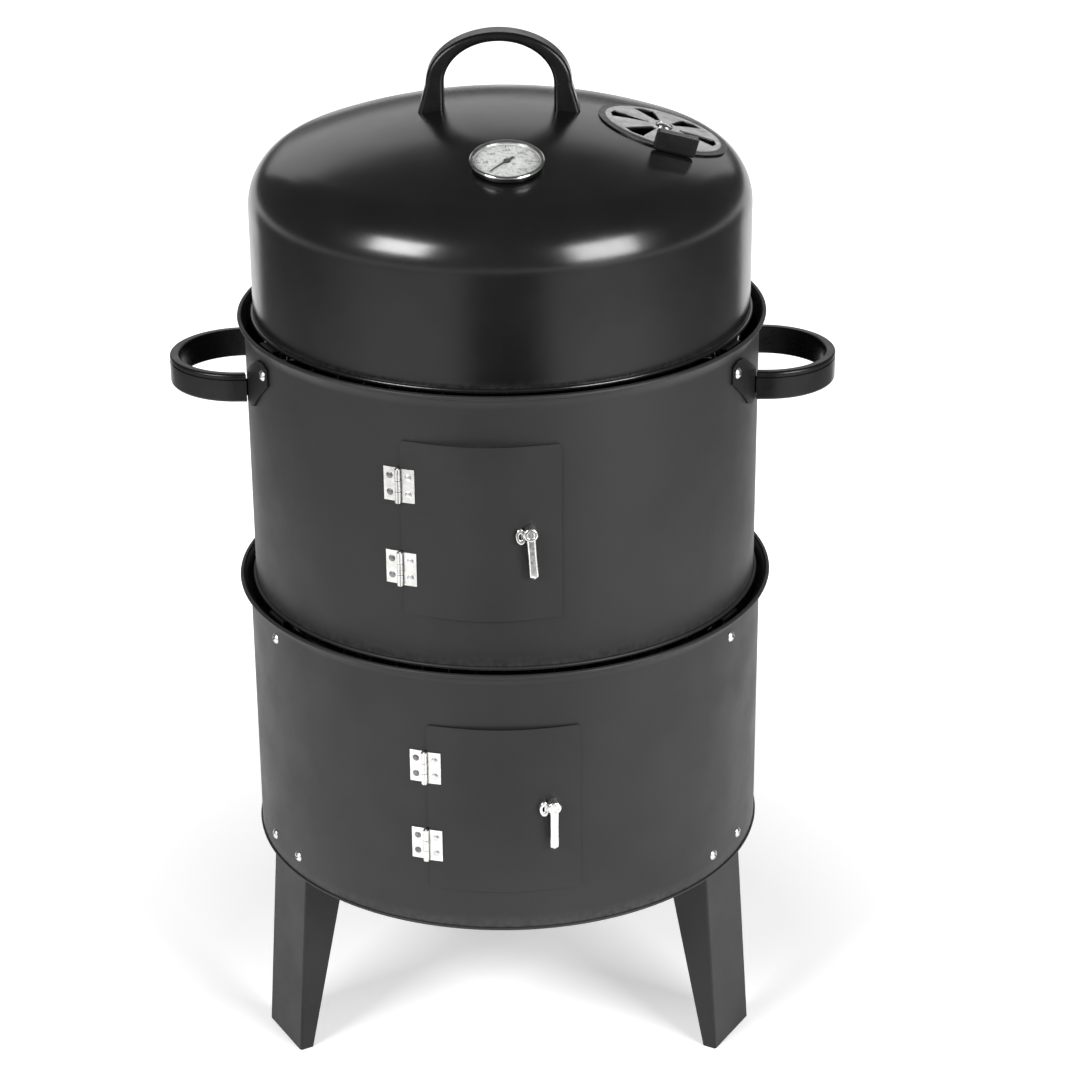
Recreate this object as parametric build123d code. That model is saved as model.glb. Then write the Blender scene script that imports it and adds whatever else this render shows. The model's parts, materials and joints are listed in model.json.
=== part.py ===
"""Vertical water smoker: a domed lid over two stacked steel drums on three legs.

Millimetres, +Z up.  The origin is on the floor, on the axis of the drums, and the
doors face -Y.  An azimuth is an angle about +Z in degrees: 0 is the front (-Y) and
90 is the right-hand side (+X).
"""
import os
from math import asin, atan2, cos, pi, radians, sin, sqrt

from build123d import *

# ---------------------------------------------------------------- driving dimensions
SHEET = 1.0                 # pressed sheet steel of lid and drums
GAP = 0.3                   # running clearance between pieces that move apart
FIT = 0.05                  # radial clearance of a pin in its bore

LOWER_R = 202.3             # outside of the lower drum
LOWER_Z0 = 156.0            # its bottom edge
LOWER_Z1 = 376.0            # top of its rim
LOWER_RIM_R = 210.2         # outside of its rolled rim
UPPER_R = 197.5             # outside of the upper drum
UPPER_Z0 = 374.5
UPPER_Z1 = 591.0
UPPER_RIM_R = 202.7
LID_R = 190.4               # outside of the lid's skirt
LID_Z0 = 589.5
LID_SHOULDER_Z = 674.6      # where the skirt turns into the shoulder
LID_SHOULDER_R = 46.6
LID_DOME_R = 450.0
BEAD_R = 1.8                # rolled edge of a rim
HEM_R = 1.6                 # rolled edge of a skirt
FLARE_H = 12.0              # height over which a drum's top flares out

SUPPORT_T = 1.5             # strip steel of the grate supports
SUPPORT_SPAN = 6.0          # degrees of drum wall that one support covers
LOWER_SUPPORT_Z = (374.2, 352.0, 328.0)    # ledges for upper drum, grate, water bowl
UPPER_SUPPORT_Z = (589.2, 565.0)           # ledges for lid and grate
LOWER_SUPPORT_AZ = (-60.0, 60.0, 180.0)
UPPER_SUPPORT_AZ = (-62.4, 62.4, 180.0)
LOWER_SUPPORT_BOLT_Z = 355.5
HANDLE_BOLT_Z = 567.5
HANDLE_BOLT_AZ = (-62.4, 62.4, -117.6, 117.6)

GRATE_R = 184.5             # outside of both cooking grates
GRATE_RING_R = 3.0
GRATE_BAR_R = 1.6
GRATE_PITCH = 20.0
BOWL_FLANGE_R = 172.5
BOWL_MOUTH_R = 150.0
WATER_BOWL_DEPTH = 75.0
CHARCOAL_BOWL_DEPTH = 60.0
CHARCOAL_GRATE_R = 126.0
WATER_BOWL_FLOOR_R = 105.0
CHARCOAL_BOWL_FLOOR_R = 110.0

LEG_AZ = {"leg_front_left": -60.0, "leg_front_right": 60.0, "leg_rear": 180.0}
LEG_W = 58.0
LEG_T = 1.5
LEG_TOP_Z = 205.0
LEG_BEND_Z = 152.0
LEG_TOP_R = 199.0           # outside of the web where it lies in the drum
LEG_FOOT_R = 210.2          # outside of the web on the floor
LEG_TOP_DEPTH = 34.0
LEG_FOOT_DEPTH = 11.0
LEG_LEDGE_R = 163.0
LEG_BOLT_Z = 173.5
LEG_BOLT_AZ = 6.0           # degrees each side of the leg's middle

BOLT_R = 2.0
BOLT_HEAD_R = 4.2
BOLT_HEAD_H = 2.2
NUT_R = 4.0
NUT_H = 3.0

DOOR_T = 1.0
DOOR_LAP = 6.0              # overlap of the door on the wall, top, bottom and latch side
HINGE_H = 26.0
HINGE_BARREL_R = 2.2
HINGE_PIN_R = 1.1
HINGE_LEAF_T = 0.8
HINGE_OFFSET = 3.4          # axis of the barrel outside the drum wall
HINGE_LEAF_W = 12.2         # reach of each leaf from the axis of the barrel
HINGE_RIVET = 7.5           # rivets from the axis of the barrel
# edges and fittings of each door: (drum radius, z0, z1, hinge azimuth, latch-side azimuth,
# bottoms of its two hinges, latch azimuth, latch height)
DOORS = {
    "upper": (UPPER_R, 416.0, 552.0, -21.2, 13.2, (439.0, 504.5), 6.4, 486.2),
    "lower": (LOWER_R, 191.0, 328.5, -16.45, 16.7, (214.5, 280.3), 10.6, 264.8),
}
LATCH_SPINDLE_R = 2.5
LATCH_LEVER_L = 32.5
LATCH_LEVER_W = 6.8
LATCH_LEAN = {"upper": 4.0, "lower": 0.0}  # degrees that a hanging lever leans to the right
LATCH_EAR = (-7.0, -2.1)    # centre of the oval ear beside the spindle
LATCH_EAR_R = (3.7, 6.2)
LATCH_TONGUE_L = 13.0       # stops short of the edge of the opening

SIDE_GRIP_X = 202.0         # centre of the half ring of the grip
SIDE_GRIP_R = 55.2
SIDE_GRIP_W = 7.5
SIDE_GRIP_Z = (531.8, 554.2)
SIDE_PLATE_T = 2.0

HANDLE_TOP_Z = 804.5
HANDLE_INNER_Z = 797.5
HANDLE_SPRING_Z = 765.0     # where the straight legs turn into the arch
HANDLE_INNER_X = 41.0
HANDLE_OUTER_X = 54.5
HANDLE_FOOT_X = 61.0
HANDLE_D = 21.0
HANDLE_SCREW_X = 51.0
HANDLE_SCREW_R = 2.5

VENT_AZ, VENT_OFF = 87.7, 122.8            # azimuth and distance from the axis
VENT_R = 50.0
VENT_SLOT = (12.0, 39.0, 2.1, 8.6)         # inner and outer reach, half widths there
VENT_TURN = -5.0
VENT_GRIP_TURN = 9.0        # the grip stands this far around the rim from the front
VENT_GRIP_Z = (-2.4, 13.1)   # its ends above the plane of the vent
VENT_TONGUE = (49.0, 53.6)  # reach of the damper's tongue into the grip
GAUGE_AZ, GAUGE_OFF = 3.7, 113.5
GAUGE_R = 27.0


# ---------------------------------------------------------------- shared helpers
def radial_plane(az, r, z):
    """Plane that faces outward from the axis: x runs around the drum, y is up."""
    a = radians(az)
    return Plane(origin=(r * sin(a), -r * cos(a), z), x_dir=(cos(a), sin(a), 0), z_dir=(sin(a), -cos(a), 0))


def revolved(*faces):
    """Solid of revolution about the drum axis; faces are drawn with x = radius, y = height."""
    shape = None
    for face in faces:
        solid = revolve(Plane.XZ * face, Axis.Z, 360)
        shape = solid if shape is None else shape + solid
    return shape


def sector(r0, r1, z0, z1, az0, az1):
    """Piece of a tube between two azimuths."""
    face = Pos((r0 + r1) / 2, (z0 + z1) / 2) * Rectangle(r1 - r0, z1 - z0)
    return Rot(0, 0, az0 - 90) * revolve(Plane.XZ * face, Axis.Z, az1 - az0)


def cylinder_along(plane, radius, start, end):
    """Cylinder on a plane's z axis from start to end."""
    return plane * Pos(0, 0, (start + end) / 2) * Cylinder(radius, end - start)


def rolled(r, z, tube):
    return Pos(r, z) * Circle(tube)


def dome_head(plane, radius, height):
    """Low domed bolt head that stands on the plane."""
    ball = (radius**2 + height**2) / (2 * height)
    head = Pos(0, 0, height - ball) * Sphere(ball)
    head = head & Pos(0, 0, height / 2 + 0.5) * Box(4 * radius, 4 * radius, height + 1)
    return plane * (head & Pos(0, 0, height / 2) * Cylinder(radius, height))


def bolt(az, r, z, reach):
    """Domed bolt that points inward from a wall of outside radius r."""
    plane = radial_plane(az, r, z)
    return dome_head(plane, BOLT_HEAD_R, BOLT_HEAD_H) + cylinder_along(plane, BOLT_R, -reach, 0.4)


def bolt_hole(az, z):
    """Cutter for one radial bolt, through every wall at that height."""
    return cylinder_along(radial_plane(az, 0, z), BOLT_R + 0.1, 150, 230)


def nut(az, r, z):
    """Hexagon nut that bears on a wall whose inside is at radius r."""
    blank = extrude(RegularPolygon(NUT_R, 6), NUT_H) - Cylinder(BOLT_R + FIT, 3 * NUT_H)
    return radial_plane(az, r - NUT_H - 0.1, z) * blank


def rivet(az, r, z, radius, reach):
    """Small domed rivet with a plain tail on the inside."""
    plane = radial_plane(az, r, z)
    return dome_head(plane, 1.9 * radius, 0.6) + cylinder_along(plane, radius, -reach, 0.1)


def drum_flare(radius, rim_r, top):
    """Section of the flared top of a drum, tangent to its wall and ending in the rolled rim."""
    bead_r, bead_z = rim_r - BEAD_R, top - BEAD_R
    foot_z = top - FLARE_H
    run, rise = bead_r - (radius - SHEET / 2), bead_z - foot_z
    mid = (run**2 + rise**2) / (2 * run)
    turn = asin(rise / mid)
    centre = (radius + mid - SHEET / 2, foot_z)

    def on(arc_r, angle):
        return (centre[0] - arc_r * cos(angle), centre[1] + arc_r * sin(angle))

    outer, inner = mid - SHEET / 2, mid + SHEET / 2
    return make_face([
        ThreePointArc(on(outer, 0), on(outer, turn / 2), on(outer, turn)),
        Line(on(outer, turn), on(inner, turn)),
        ThreePointArc(on(inner, turn), on(inner, turn / 2), on(inner, 0)),
        Line(on(inner, 0), on(outer, 0)),
    ])


def drum(radius, z0, z1, rim_r, hem_r):
    """Open drum: straight wall, rolled lower edge, flared top with a rolled rim."""
    wall = Pos(radius - SHEET / 2, (z0 + hem_r + z1 - FLARE_H) / 2)
    wall = wall * Rectangle(SHEET, z1 - FLARE_H - z0 - hem_r)
    return revolved(
        wall,
        drum_flare(radius, rim_r, z1),
        rolled(rim_r - BEAD_R, z1 - BEAD_R, BEAD_R),
        rolled(radius + hem_r - SHEET, z0 + hem_r, hem_r),
    )


# ---------------------------------------------------------------- doors, hinges and latches
def door_parts(drum_name):
    """Nodes of one door, and the cutter for its opening and holes in the drum wall."""
    r, z0, z1, hinge_az, edge_az, hinge_z, latch_az, latch_z = DOORS[drum_name]
    degree = radians(1) * r
    door_az0 = hinge_az + 1.4 / degree
    face_r = r + GAP + DOOR_T
    panel = sector(r + GAP, face_r, z0, z1, door_az0, edge_az)
    opening = sector(r - 10, r + 10, z0 + DOOR_LAP, z1 - DOOR_LAP,
                     door_az0 + 1.2 / degree, edge_az - DOOR_LAP / degree)
    holes = opening
    drum_leaves, door_leaves, pins, drum_rivets, door_rivets = [], [], [], [], []
    for bottom in hinge_z:
        axis_r = r + HINGE_OFFSET
        axis = radial_plane(hinge_az, axis_r, 0)
        drum_leaves.append(hinge_leaf(hinge_az, axis_r, bottom, r, -HINGE_LEAF_W / degree, ("bottom", "top")))
        door_leaves.append(hinge_leaf(hinge_az, axis_r, bottom, face_r, HINGE_LEAF_W / degree, ("middle",)))
        pins.append(upright(axis, HINGE_PIN_R, bottom - 0.6, bottom + HINGE_H + 0.6))
        for z in (bottom + 6.5, bottom + HINGE_H - 6.5):
            drum_az = hinge_az - HINGE_RIVET / degree
            door_az = hinge_az + HINGE_RIVET / degree
            drum_rivets.append(rivet(drum_az, r + HINGE_LEAF_T, z, 1.4, 3.4))
            door_rivets.append(rivet(door_az, face_r + HINGE_LEAF_T, z, 1.4, 3.4))
            for rivet_az in (drum_az, door_az):
                cutter = cylinder_along(radial_plane(rivet_az, 0, z), 1.45, r - 12, r + 8)
                drum_leaves = [leaf - cutter for leaf in drum_leaves]
                door_leaves = [leaf - cutter for leaf in door_leaves]
                panel -= cutter
                holes = holes + cutter
    spindle = radial_plane(latch_az, r, latch_z)
    panel -= cylinder_along(spindle, LATCH_SPINDLE_R + FIT, -5, 5)
    latch = spindle * Rot(0, 0, LATCH_LEAN[drum_name])
    nodes = {
        f"{drum_name}_door": panel,
        f"{drum_name}_hinge_drum_leaves": Compound(children=drum_leaves),
        f"{drum_name}_hinge_door_leaves": Compound(children=door_leaves),
        f"{drum_name}_hinge_pins": Compound(children=pins),
        f"{drum_name}_hinge_drum_rivets": Compound(children=drum_rivets),
        f"{drum_name}_hinge_door_rivets": Compound(children=door_rivets),
        f"{drum_name}_latch_handle": latch_handle(latch),
        f"{drum_name}_latch_tongue": latch_tongue(latch),
    }
    return nodes, holes


def upright(plane, radius, z0, z1):
    """Vertical cylinder through the origin of a radial plane."""
    return plane * Pos(0, (z0 + z1) / 2, 0) * Rot(90, 0, 0) * Cylinder(radius, z1 - z0)


def hinge_leaf(hinge_az, axis_r, bottom, seat_r, span, knuckles):
    """One leaf of a butt hinge, curved to its seat, with its share of the barrel."""
    axis = radial_plane(hinge_az, axis_r, 0)
    side = -1 if span < 0 else 1
    top = bottom + HINGE_H
    third = HINGE_H / 3
    az0, az1 = sorted((hinge_az + 0.4 * side, hinge_az + span))
    leaf = sector(seat_r, seat_r + HINGE_LEAF_T, bottom, top, az0, az1)
    spans = {
        "bottom": (bottom, bottom + third - GAP / 2),
        "middle": (bottom + third + GAP / 2, top - third - GAP / 2),
        "top": (top - third + GAP / 2, top),
    }
    low, high = seat_r + 0.1 - axis_r, 0.8
    for name in knuckles:
        z0, z1 = spans[name]
        riser = Pos(side * 1.6, (z0 + z1) / 2, (low + high) / 2) * Box(1.2, z1 - z0, high - low)
        leaf = leaf + axis * riser + upright(axis, HINGE_BARREL_R, z0, z1)
    for name, (z0, z1) in spans.items():
        if name not in knuckles:
            leaf -= upright(axis, HINGE_BARREL_R + GAP, z0 - GAP, z1 + GAP)
    bore = HINGE_PIN_R + (FIT if "middle" in knuckles else 0.01)
    return leaf - upright(axis, bore, bottom - 2, top + 2)


def latch_handle(plane):
    """Cast turn handle: spindle, round boss, oval screw ear at its left and a hanging lever."""
    seat = GAP + DOOR_T + GAP
    boss = Pos(0, 0, seat + 4.5) * Cylinder(5.2, 9.0)
    at = Pos(LATCH_EAR[0], LATCH_EAR[1], seat)
    ear = at * extrude(Ellipse(*LATCH_EAR_R), 5.2) + Pos(-3.6, -1.0, seat + 2.6) * Box(6, 7, 5.2)
    ear -= at * Pos(0, 0, 4.7) * Cylinder(1.5, 1.2)
    lever = Pos(0, -LATCH_LEVER_L / 2, seat + 6.6) * Box(LATCH_LEVER_W, LATCH_LEVER_L, 4.4)
    tip = Pos(0, -LATCH_LEVER_L, seat + 6.6) * Cylinder(LATCH_LEVER_W / 2, 4.4)
    spindle = Pos(0, 0, (seat + 1 - 6.0) / 2) * Cylinder(LATCH_SPINDLE_R, seat + 1 + 6.0)
    return plane * (boss + ear + lever + tip + spindle)


def latch_tongue(plane):
    """Flat tongue on the spindle's inner end, behind the wall line."""
    width = 10.0
    tongue = Pos(LATCH_TONGUE_L / 2 - 2, 0, -3.4) * Box(LATCH_TONGUE_L, width, 1.4)
    tongue = tongue & Pos(0, 0, -3.4) * Cylinder(LATCH_TONGUE_L, 3)
    return plane * (tongue - Cylinder(LATCH_SPINDLE_R + 0.01, 20))


# ---------------------------------------------------------------- lid and its fittings
LID_ARC_X = LID_R - LID_SHOULDER_R
LID_CENTRE_Z = LID_SHOULDER_Z - sqrt((LID_DOME_R - LID_SHOULDER_R) ** 2 - LID_ARC_X**2)


def dome_plane(az, off):
    """Plane on the dome's outer face: z is the outward normal, x points downhill."""
    tilt = asin(off / LID_DOME_R)
    a = radians(az)
    away = (sin(a), -cos(a))
    origin = (off * away[0], off * away[1], LID_CENTRE_Z + LID_DOME_R * cos(tilt))
    downhill = (cos(tilt) * away[0], cos(tilt) * away[1], -sin(tilt))
    normal = (sin(tilt) * away[0], sin(tilt) * away[1], cos(tilt))
    return Plane(origin=origin, x_dir=downhill, z_dir=normal)


def dome_section(inset):
    """Corner points of the lid's section, inset from the outside: skirt, shoulder and dome."""
    turn = atan2(LID_SHOULDER_Z - LID_CENTRE_Z, LID_ARC_X)
    shoulder, dome = LID_SHOULDER_R - inset, LID_DOME_R - inset

    def on_shoulder(angle):
        return (LID_ARC_X + shoulder * cos(angle), LID_SHOULDER_Z + shoulder * sin(angle))

    def on_dome(angle):
        return (dome * cos(angle), LID_CENTRE_Z + dome * sin(angle))

    crown = (turn + pi / 2) / 2
    return (on_shoulder(0), on_shoulder(turn / 2), on_shoulder(turn), on_dome(crown), on_dome(pi / 2))


def vent_slots(plane):
    """Six wedge-shaped slots around the vent's centre."""
    near, far, near_w, far_w = VENT_SLOT
    wedge = make_face(Polyline((near, -near_w), (far, -far_w), (far + 2.2, 0), (far, far_w), (near, near_w),
                               close=True))
    blade = Pos(0, 0, -10) * extrude(wedge, 20)
    return [plane * Rot(0, 0, VENT_TURN + 60 * k) * blade for k in range(6)]


def lid_shell():
    """Pressed lid: rolled hem, short skirt, round shoulder and shallow dome."""
    o0, o1, o2, o3, o4 = dome_section(0)
    i0, i1, i2, i3, i4 = dome_section(SHEET)
    foot = LID_Z0 + HEM_R
    section = make_face([
        Line((LID_R, foot), o0), ThreePointArc(o0, o1, o2), ThreePointArc(o2, o3, o4), Line(o4, i4),
        ThreePointArc(i4, i3, i2), ThreePointArc(i2, i1, i0), Line(i0, (LID_R - SHEET, foot)),
        Line((LID_R - SHEET, foot), (LID_R, foot)),
    ])
    shell = revolved(section, rolled(LID_R + HEM_R - SHEET, foot, HEM_R))
    vent = dome_plane(VENT_AZ, VENT_OFF)
    for slot in vent_slots(vent):
        shell -= slot
    shell -= cylinder_along(vent, 2.6, -10, 10)
    shell -= cylinder_along(dome_plane(GAUGE_AZ, GAUGE_OFF), 4.6, -10, 10)
    for x in (-HANDLE_SCREW_X, HANDLE_SCREW_X):
        shell -= Pos(x, 0, 740) * Cylinder(HANDLE_SCREW_R + 0.1, 60)
    return shell


def lid_handle():
    """Moulded arch: slim on top, widening to the two feet that stand on the dome."""
    foot_z = 730.0
    outer = EllipticalCenterArc((0, HANDLE_SPRING_Z), HANDLE_OUTER_X, HANDLE_TOP_Z - HANDLE_SPRING_Z, 0,
                                 arc_size=180)
    inner = EllipticalCenterArc((0, HANDLE_SPRING_Z), HANDLE_INNER_X, HANDLE_INNER_Z - HANDLE_SPRING_Z, 0,
                                 arc_size=180)
    section = make_face([
        outer,
        Polyline((-HANDLE_OUTER_X, HANDLE_SPRING_Z), (-HANDLE_FOOT_X - 2, foot_z), (-HANDLE_INNER_X, foot_z),
                 (-HANDLE_INNER_X, HANDLE_SPRING_Z)),
        inner,
        Polyline((HANDLE_INNER_X, HANDLE_SPRING_Z), (HANDLE_INNER_X, foot_z), (HANDLE_FOOT_X + 2, foot_z),
                 (HANDLE_OUTER_X, HANDLE_SPRING_Z)),
    ])
    arch = extrude(Plane.XZ * section, HANDLE_D / 2, both=True)
    rim = [e for e in arch.edges() if abs(abs(e.center().Y) - HANDLE_D / 2) < 0.01 and e.center().Z > foot_z + 1]
    arch = fillet(rim, 2.4)
    arch -= Pos(0, 0, LID_CENTRE_Z) * Sphere(LID_DOME_R)
    for x in (-HANDLE_SCREW_X, HANDLE_SCREW_X):
        arch -= Pos(x, 0, 743) * Cylinder(HANDLE_SCREW_R + 0.01, 26)
    return arch


def handle_fasteners():
    """Pan-head screws and plain washers that hold the handle from inside the lid."""
    screws, washers = [], []
    for x in (-HANDLE_SCREW_X, HANDLE_SCREW_X):
        under = LID_CENTRE_Z + sqrt((LID_DOME_R - SHEET) ** 2 - (abs(x) + 6) ** 2) - 0.2
        washer = Pos(x, 0, under - 0.6) * (Cylinder(6.0, 1.2) - Cylinder(HANDLE_SCREW_R + 0.1, 4))
        head = Pos(x, 0, under - 1.2 - 1.5) * Cylinder(4.6, 3.0)
        shank = Pos(x, 0, (under - 2 + 754) / 2) * Cylinder(HANDLE_SCREW_R, 754 - under + 2)
        screws.append(head + shank)
        washers.append(washer)
    return Compound(children=screws), Compound(children=washers)


def vent_parts():
    """Rotary damper that follows the dome, its grip and the rivet it turns on."""
    plane = dome_plane(VENT_AZ, VENT_OFF)
    centre = Pos(0, 0, LID_CENTRE_Z)
    shell = centre * (Sphere(LID_DOME_R + GAP + 1.0) - Sphere(LID_DOME_R + GAP))
    disc = shell & cylinder_along(plane, VENT_R, -8, 8)
    for slot in vent_slots(plane):
        disc -= slot
    turned = Rot(0, 0, VENT_GRIP_TURN)
    tongue_y, tongue_l = -sum(VENT_TONGUE) / 2, VENT_TONGUE[1] - VENT_TONGUE[0]
    grip_z0, grip_z1 = VENT_GRIP_Z
    tongue = plane * turned * Pos(0, tongue_y, grip_z0 + 0.5) * Box(24, tongue_l, 1.0)
    disc = (disc + tongue) - cylinder_along(plane, 2.5 + FIT, -10, 10)
    grip = Pos(0, -VENT_R - GAP - 2.5, (grip_z0 + grip_z1) / 2) * Box(32, 5.0, grip_z1 - grip_z0)
    grip = fillet(grip.edges(), 1.6)
    grip -= Pos(0, tongue_y, grip_z0 + 0.5) * Box(24.02, tongue_l + 0.02, 1.02)
    head_base = GAP + 1.0 + GAP
    head = Pos(0, 0, head_base + 1.0) * Cylinder(6.5, 2.0)
    shank = Pos(0, 0, (head_base - 2.6) / 2) * Cylinder(2.5, head_base + 2.6)
    tail = Pos(0, 0, -SHEET - 1.1) * Cylinder(4.2, 1.6)
    return {"vent_damper": disc, "vent_damper_grip": plane * turned * grip, "vent_rivet": plane * (head + shank + tail)}


def gauge_parts():
    """Dial thermometer that stands on the dome: case, dial, needle, glass, stem and nut."""
    plane = dome_plane(GAUGE_AZ, GAUGE_OFF)
    case = Pos(0, 0, 3.8) * Cylinder(GAUGE_R, 5.2)
    case -= Pos(0, 0, 6.2) * Cylinder(GAUGE_R - 1.4, 8.0)
    lip = Pos(0, 0, 6.0) * (Cylinder(GAUGE_R, 0.8) - Cylinder(GAUGE_R - 3.0, 2))
    case = fillet((case + lip).edges().filter_by(GeomType.CIRCLE).group_by(Axis.Z)[-1].sort_by(SortBy.LENGTH)[-1], 0.7)
    case -= Cylinder(3.05, 8)
    dial = Pos(0, 0, 2.65) * (Cylinder(GAUGE_R - 1.6, 0.5) - Cylinder(0.96, 2))
    glass = Pos(0, 0, 4.9) * Cylinder(GAUGE_R - 1.6, 1.2)
    needle = Pos(-4, 0, 3.55) * Box(24, 1.2, 0.4) + Pos(0, 0, 3.55) * Cylinder(2.6, 0.7)
    needle = needle + Pos(0, 0, 2.6) * Cylinder(0.9, 2.0)
    needle = Rot(0, 0, 135) * needle
    stem = Pos(0, 0, -6.1) * Cylinder(4.5, 14.6) + Pos(0, 0, -32) * Cylinder(2.2, 40)
    stem = stem + Pos(0, 0, 1.6) * Cylinder(3.0, 1.2)
    stem -= Pos(0, 0, 1.9) * Cylinder(1.4, 3)
    hexagon = extrude(RegularPolygon(9.0, 6), 4.0) - Cylinder(4.52, 20)
    return {
        "gauge_case": plane * case, "gauge_dial": plane * dial, "gauge_glass": plane * glass,
        "gauge_needle": plane * needle, "gauge_stem": plane * stem,
        "gauge_nut": plane * Pos(0, 0, -SHEET - 4.3) * hexagon,
    }


# ---------------------------------------------------------------- side handles
def side_plate(side, end):
    """Wall plate with a rising nose for its bolt, and the arm that enters the grip."""
    az = 67.0
    shape = make_face(Polyline((-16, SIDE_GRIP_Z[0]), (-8, SIDE_GRIP_Z[0] + 3), (6, 547), (24.5, 561),
                               (24.5, 574), (17, 577), (6, 576), (-28, 557), (-30, SIDE_GRIP_Z[0]), close=True))
    shape = fillet(shape.vertices(), 1.0)
    blank = radial_plane(az, 150, 0) * Rot(0, 180, 0) * extrude(shape, -80)
    tube = Pos(0, 0, 550) * (Cylinder(UPPER_R + SIDE_PLATE_T, 80) - Cylinder(UPPER_R, 80))
    plate = blank & tube
    grip_mid = SIDE_GRIP_R - SIDE_GRIP_W / 2
    z = sum(SIDE_GRIP_Z) / 2
    arm = Pos(202, -grip_mid, z) * Box(22, SIDE_PLATE_T, 13)
    plate = plate + (arm - Pos(0, 0, z) * Cylinder(UPPER_R, 40))
    plate -= bolt_hole(HANDLE_BOLT_AZ[1], HANDLE_BOLT_Z)
    if end > 0:
        plate = mirror(plate, Plane.XZ)
    return plate if side > 0 else mirror(plate, Plane.YZ)


def side_grip(side):
    """Moulded half ring with eased edges and a groove around its outer top edge."""
    z0, z1 = SIDE_GRIP_Z
    inner_r = SIDE_GRIP_R - SIDE_GRIP_W
    plan = Pos(SIDE_GRIP_X, 0) * (Circle(SIDE_GRIP_R) - Circle(inner_r))
    plan = plan & Pos(SIDE_GRIP_X + 50, 0) * Rectangle(100, 2 * SIDE_GRIP_R + 10)
    for y in (-1, 1):
        plan += Pos(SIDE_GRIP_X - 5.5, y * (SIDE_GRIP_R - SIDE_GRIP_W / 2)) * Rectangle(11, SIDE_GRIP_W)
    ring = Pos(0, 0, z0) * extrude(plan, z1 - z0)
    level = [e for e in ring.edges() if min(abs(e.center().Z - z0), abs(e.center().Z - z1)) < 0.01]
    ring = fillet([e for e in level if e.center().X > SIDE_GRIP_X - 6], 2.0)
    ring -= Pos(0, 0, (z0 + z1) / 2) * Cylinder(UPPER_R + SIDE_PLATE_T + 1.2, 60)
    for y in (-1, 1):
        mid = y * (SIDE_GRIP_R - SIDE_GRIP_W / 2)
        ring -= Pos(202, mid, (z0 + z1) / 2) * Box(22.4, SIDE_PLATE_T + 0.02, 13.02)
    return ring if side > 0 else mirror(ring, Plane.YZ)


# ---------------------------------------------------------------- supports, grates and bowls
def support(az, wall_r, ledges, reaches, bolt_z, tab_z):
    """Stepped strip bolted inside a drum: one ledge for each piece that rests on it."""
    t = SUPPORT_T
    top = [(wall_r, tab_z), (wall_r, ledges[0])]
    for i, reach in enumerate(reaches):
        top.append((reach, ledges[i]))
        if i + 1 < len(ledges):
            top.append((reach, ledges[i + 1]))
    under = [(reaches[-1], ledges[-1] - t)]
    for i in range(len(reaches) - 1, 0, -1):
        under.append((reaches[i - 1] + t, ledges[i] - t))
        under.append((reaches[i - 1] + t, ledges[i - 1] - t))
    under += [(wall_r - t, ledges[0] - t), (wall_r - t, tab_z)]
    face = make_face(Polyline(*top, *under, close=True))
    strip = Rot(0, 0, az - SUPPORT_SPAN / 2 - 90) * revolve(Plane.XZ * face, Axis.Z, SUPPORT_SPAN)
    return strip - bolt_hole(az, bolt_z)


def wire_grate(outer_r, z):
    """Welded wire grate: a ring, parallel bars across it and two bars under them."""
    ring_r = outer_r - GRATE_RING_R
    ring = revolve(Plane.XZ * Pos(ring_r, 0) * Rot(0, 0, 40) * Circle(GRATE_RING_R), Axis.Z, 360)
    count = int((ring_r - 4) // GRATE_PITCH)
    bars = []
    for k in range(-count, count + 1):
        half = sqrt(ring_r**2 - (k * GRATE_PITCH) ** 2)
        bars.append(Pos(k * GRATE_PITCH, 0, 0.3) * Rot(90, 0, 0) * Cylinder(GRATE_BAR_R, 2 * half))
    for y in (-0.3, 0.3):
        half = sqrt(1 - y * y) * ring_r
        bars.append(Pos(0, y * ring_r, -1.3) * Rot(0, 90, 0) * Cylinder(1.8, 2 * half))
    return Pos(0, 0, z) * ring.fuse(*bars)


def bowl_wall(flange_z, depth, floor_r, inset):
    """Three points of the arc that a bowl's wall follows, from mouth to floor."""
    mouth = (BOWL_MOUTH_R - inset, flange_z + inset)
    middle = (BOWL_MOUTH_R - 0.18 * (BOWL_MOUTH_R - floor_r) - inset, flange_z - 0.62 * depth + inset)
    return mouth, middle, (floor_r, flange_z - depth + inset)


def bowl(flange_z, depth, floor_r):
    """Pan with a flat flange, a rounded wall and a flat floor."""
    inner = bowl_wall(flange_z, depth, floor_r, SHEET)
    outer = bowl_wall(flange_z, depth, floor_r, 0)
    section = make_face([
        Polyline(outer[0], (BOWL_FLANGE_R, flange_z), (BOWL_FLANGE_R, flange_z + SHEET), inner[0]),
        ThreePointArc(*inner),
        Polyline(inner[2], (0, inner[2][1]), (0, outer[2][1]), outer[2]),
        ThreePointArc(*outer),
    ])
    return revolved(section)


def rest_height(wall, ring_r, tube):
    """Height at which a ring of round wire rests inside a bowl's wall, with a small gap."""
    arc = ThreePointArc(*wall)
    reach = arc.radius - tube - GAP
    return arc.arc_center.Y - sqrt(reach**2 - (ring_r - arc.arc_center.X) ** 2)


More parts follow.
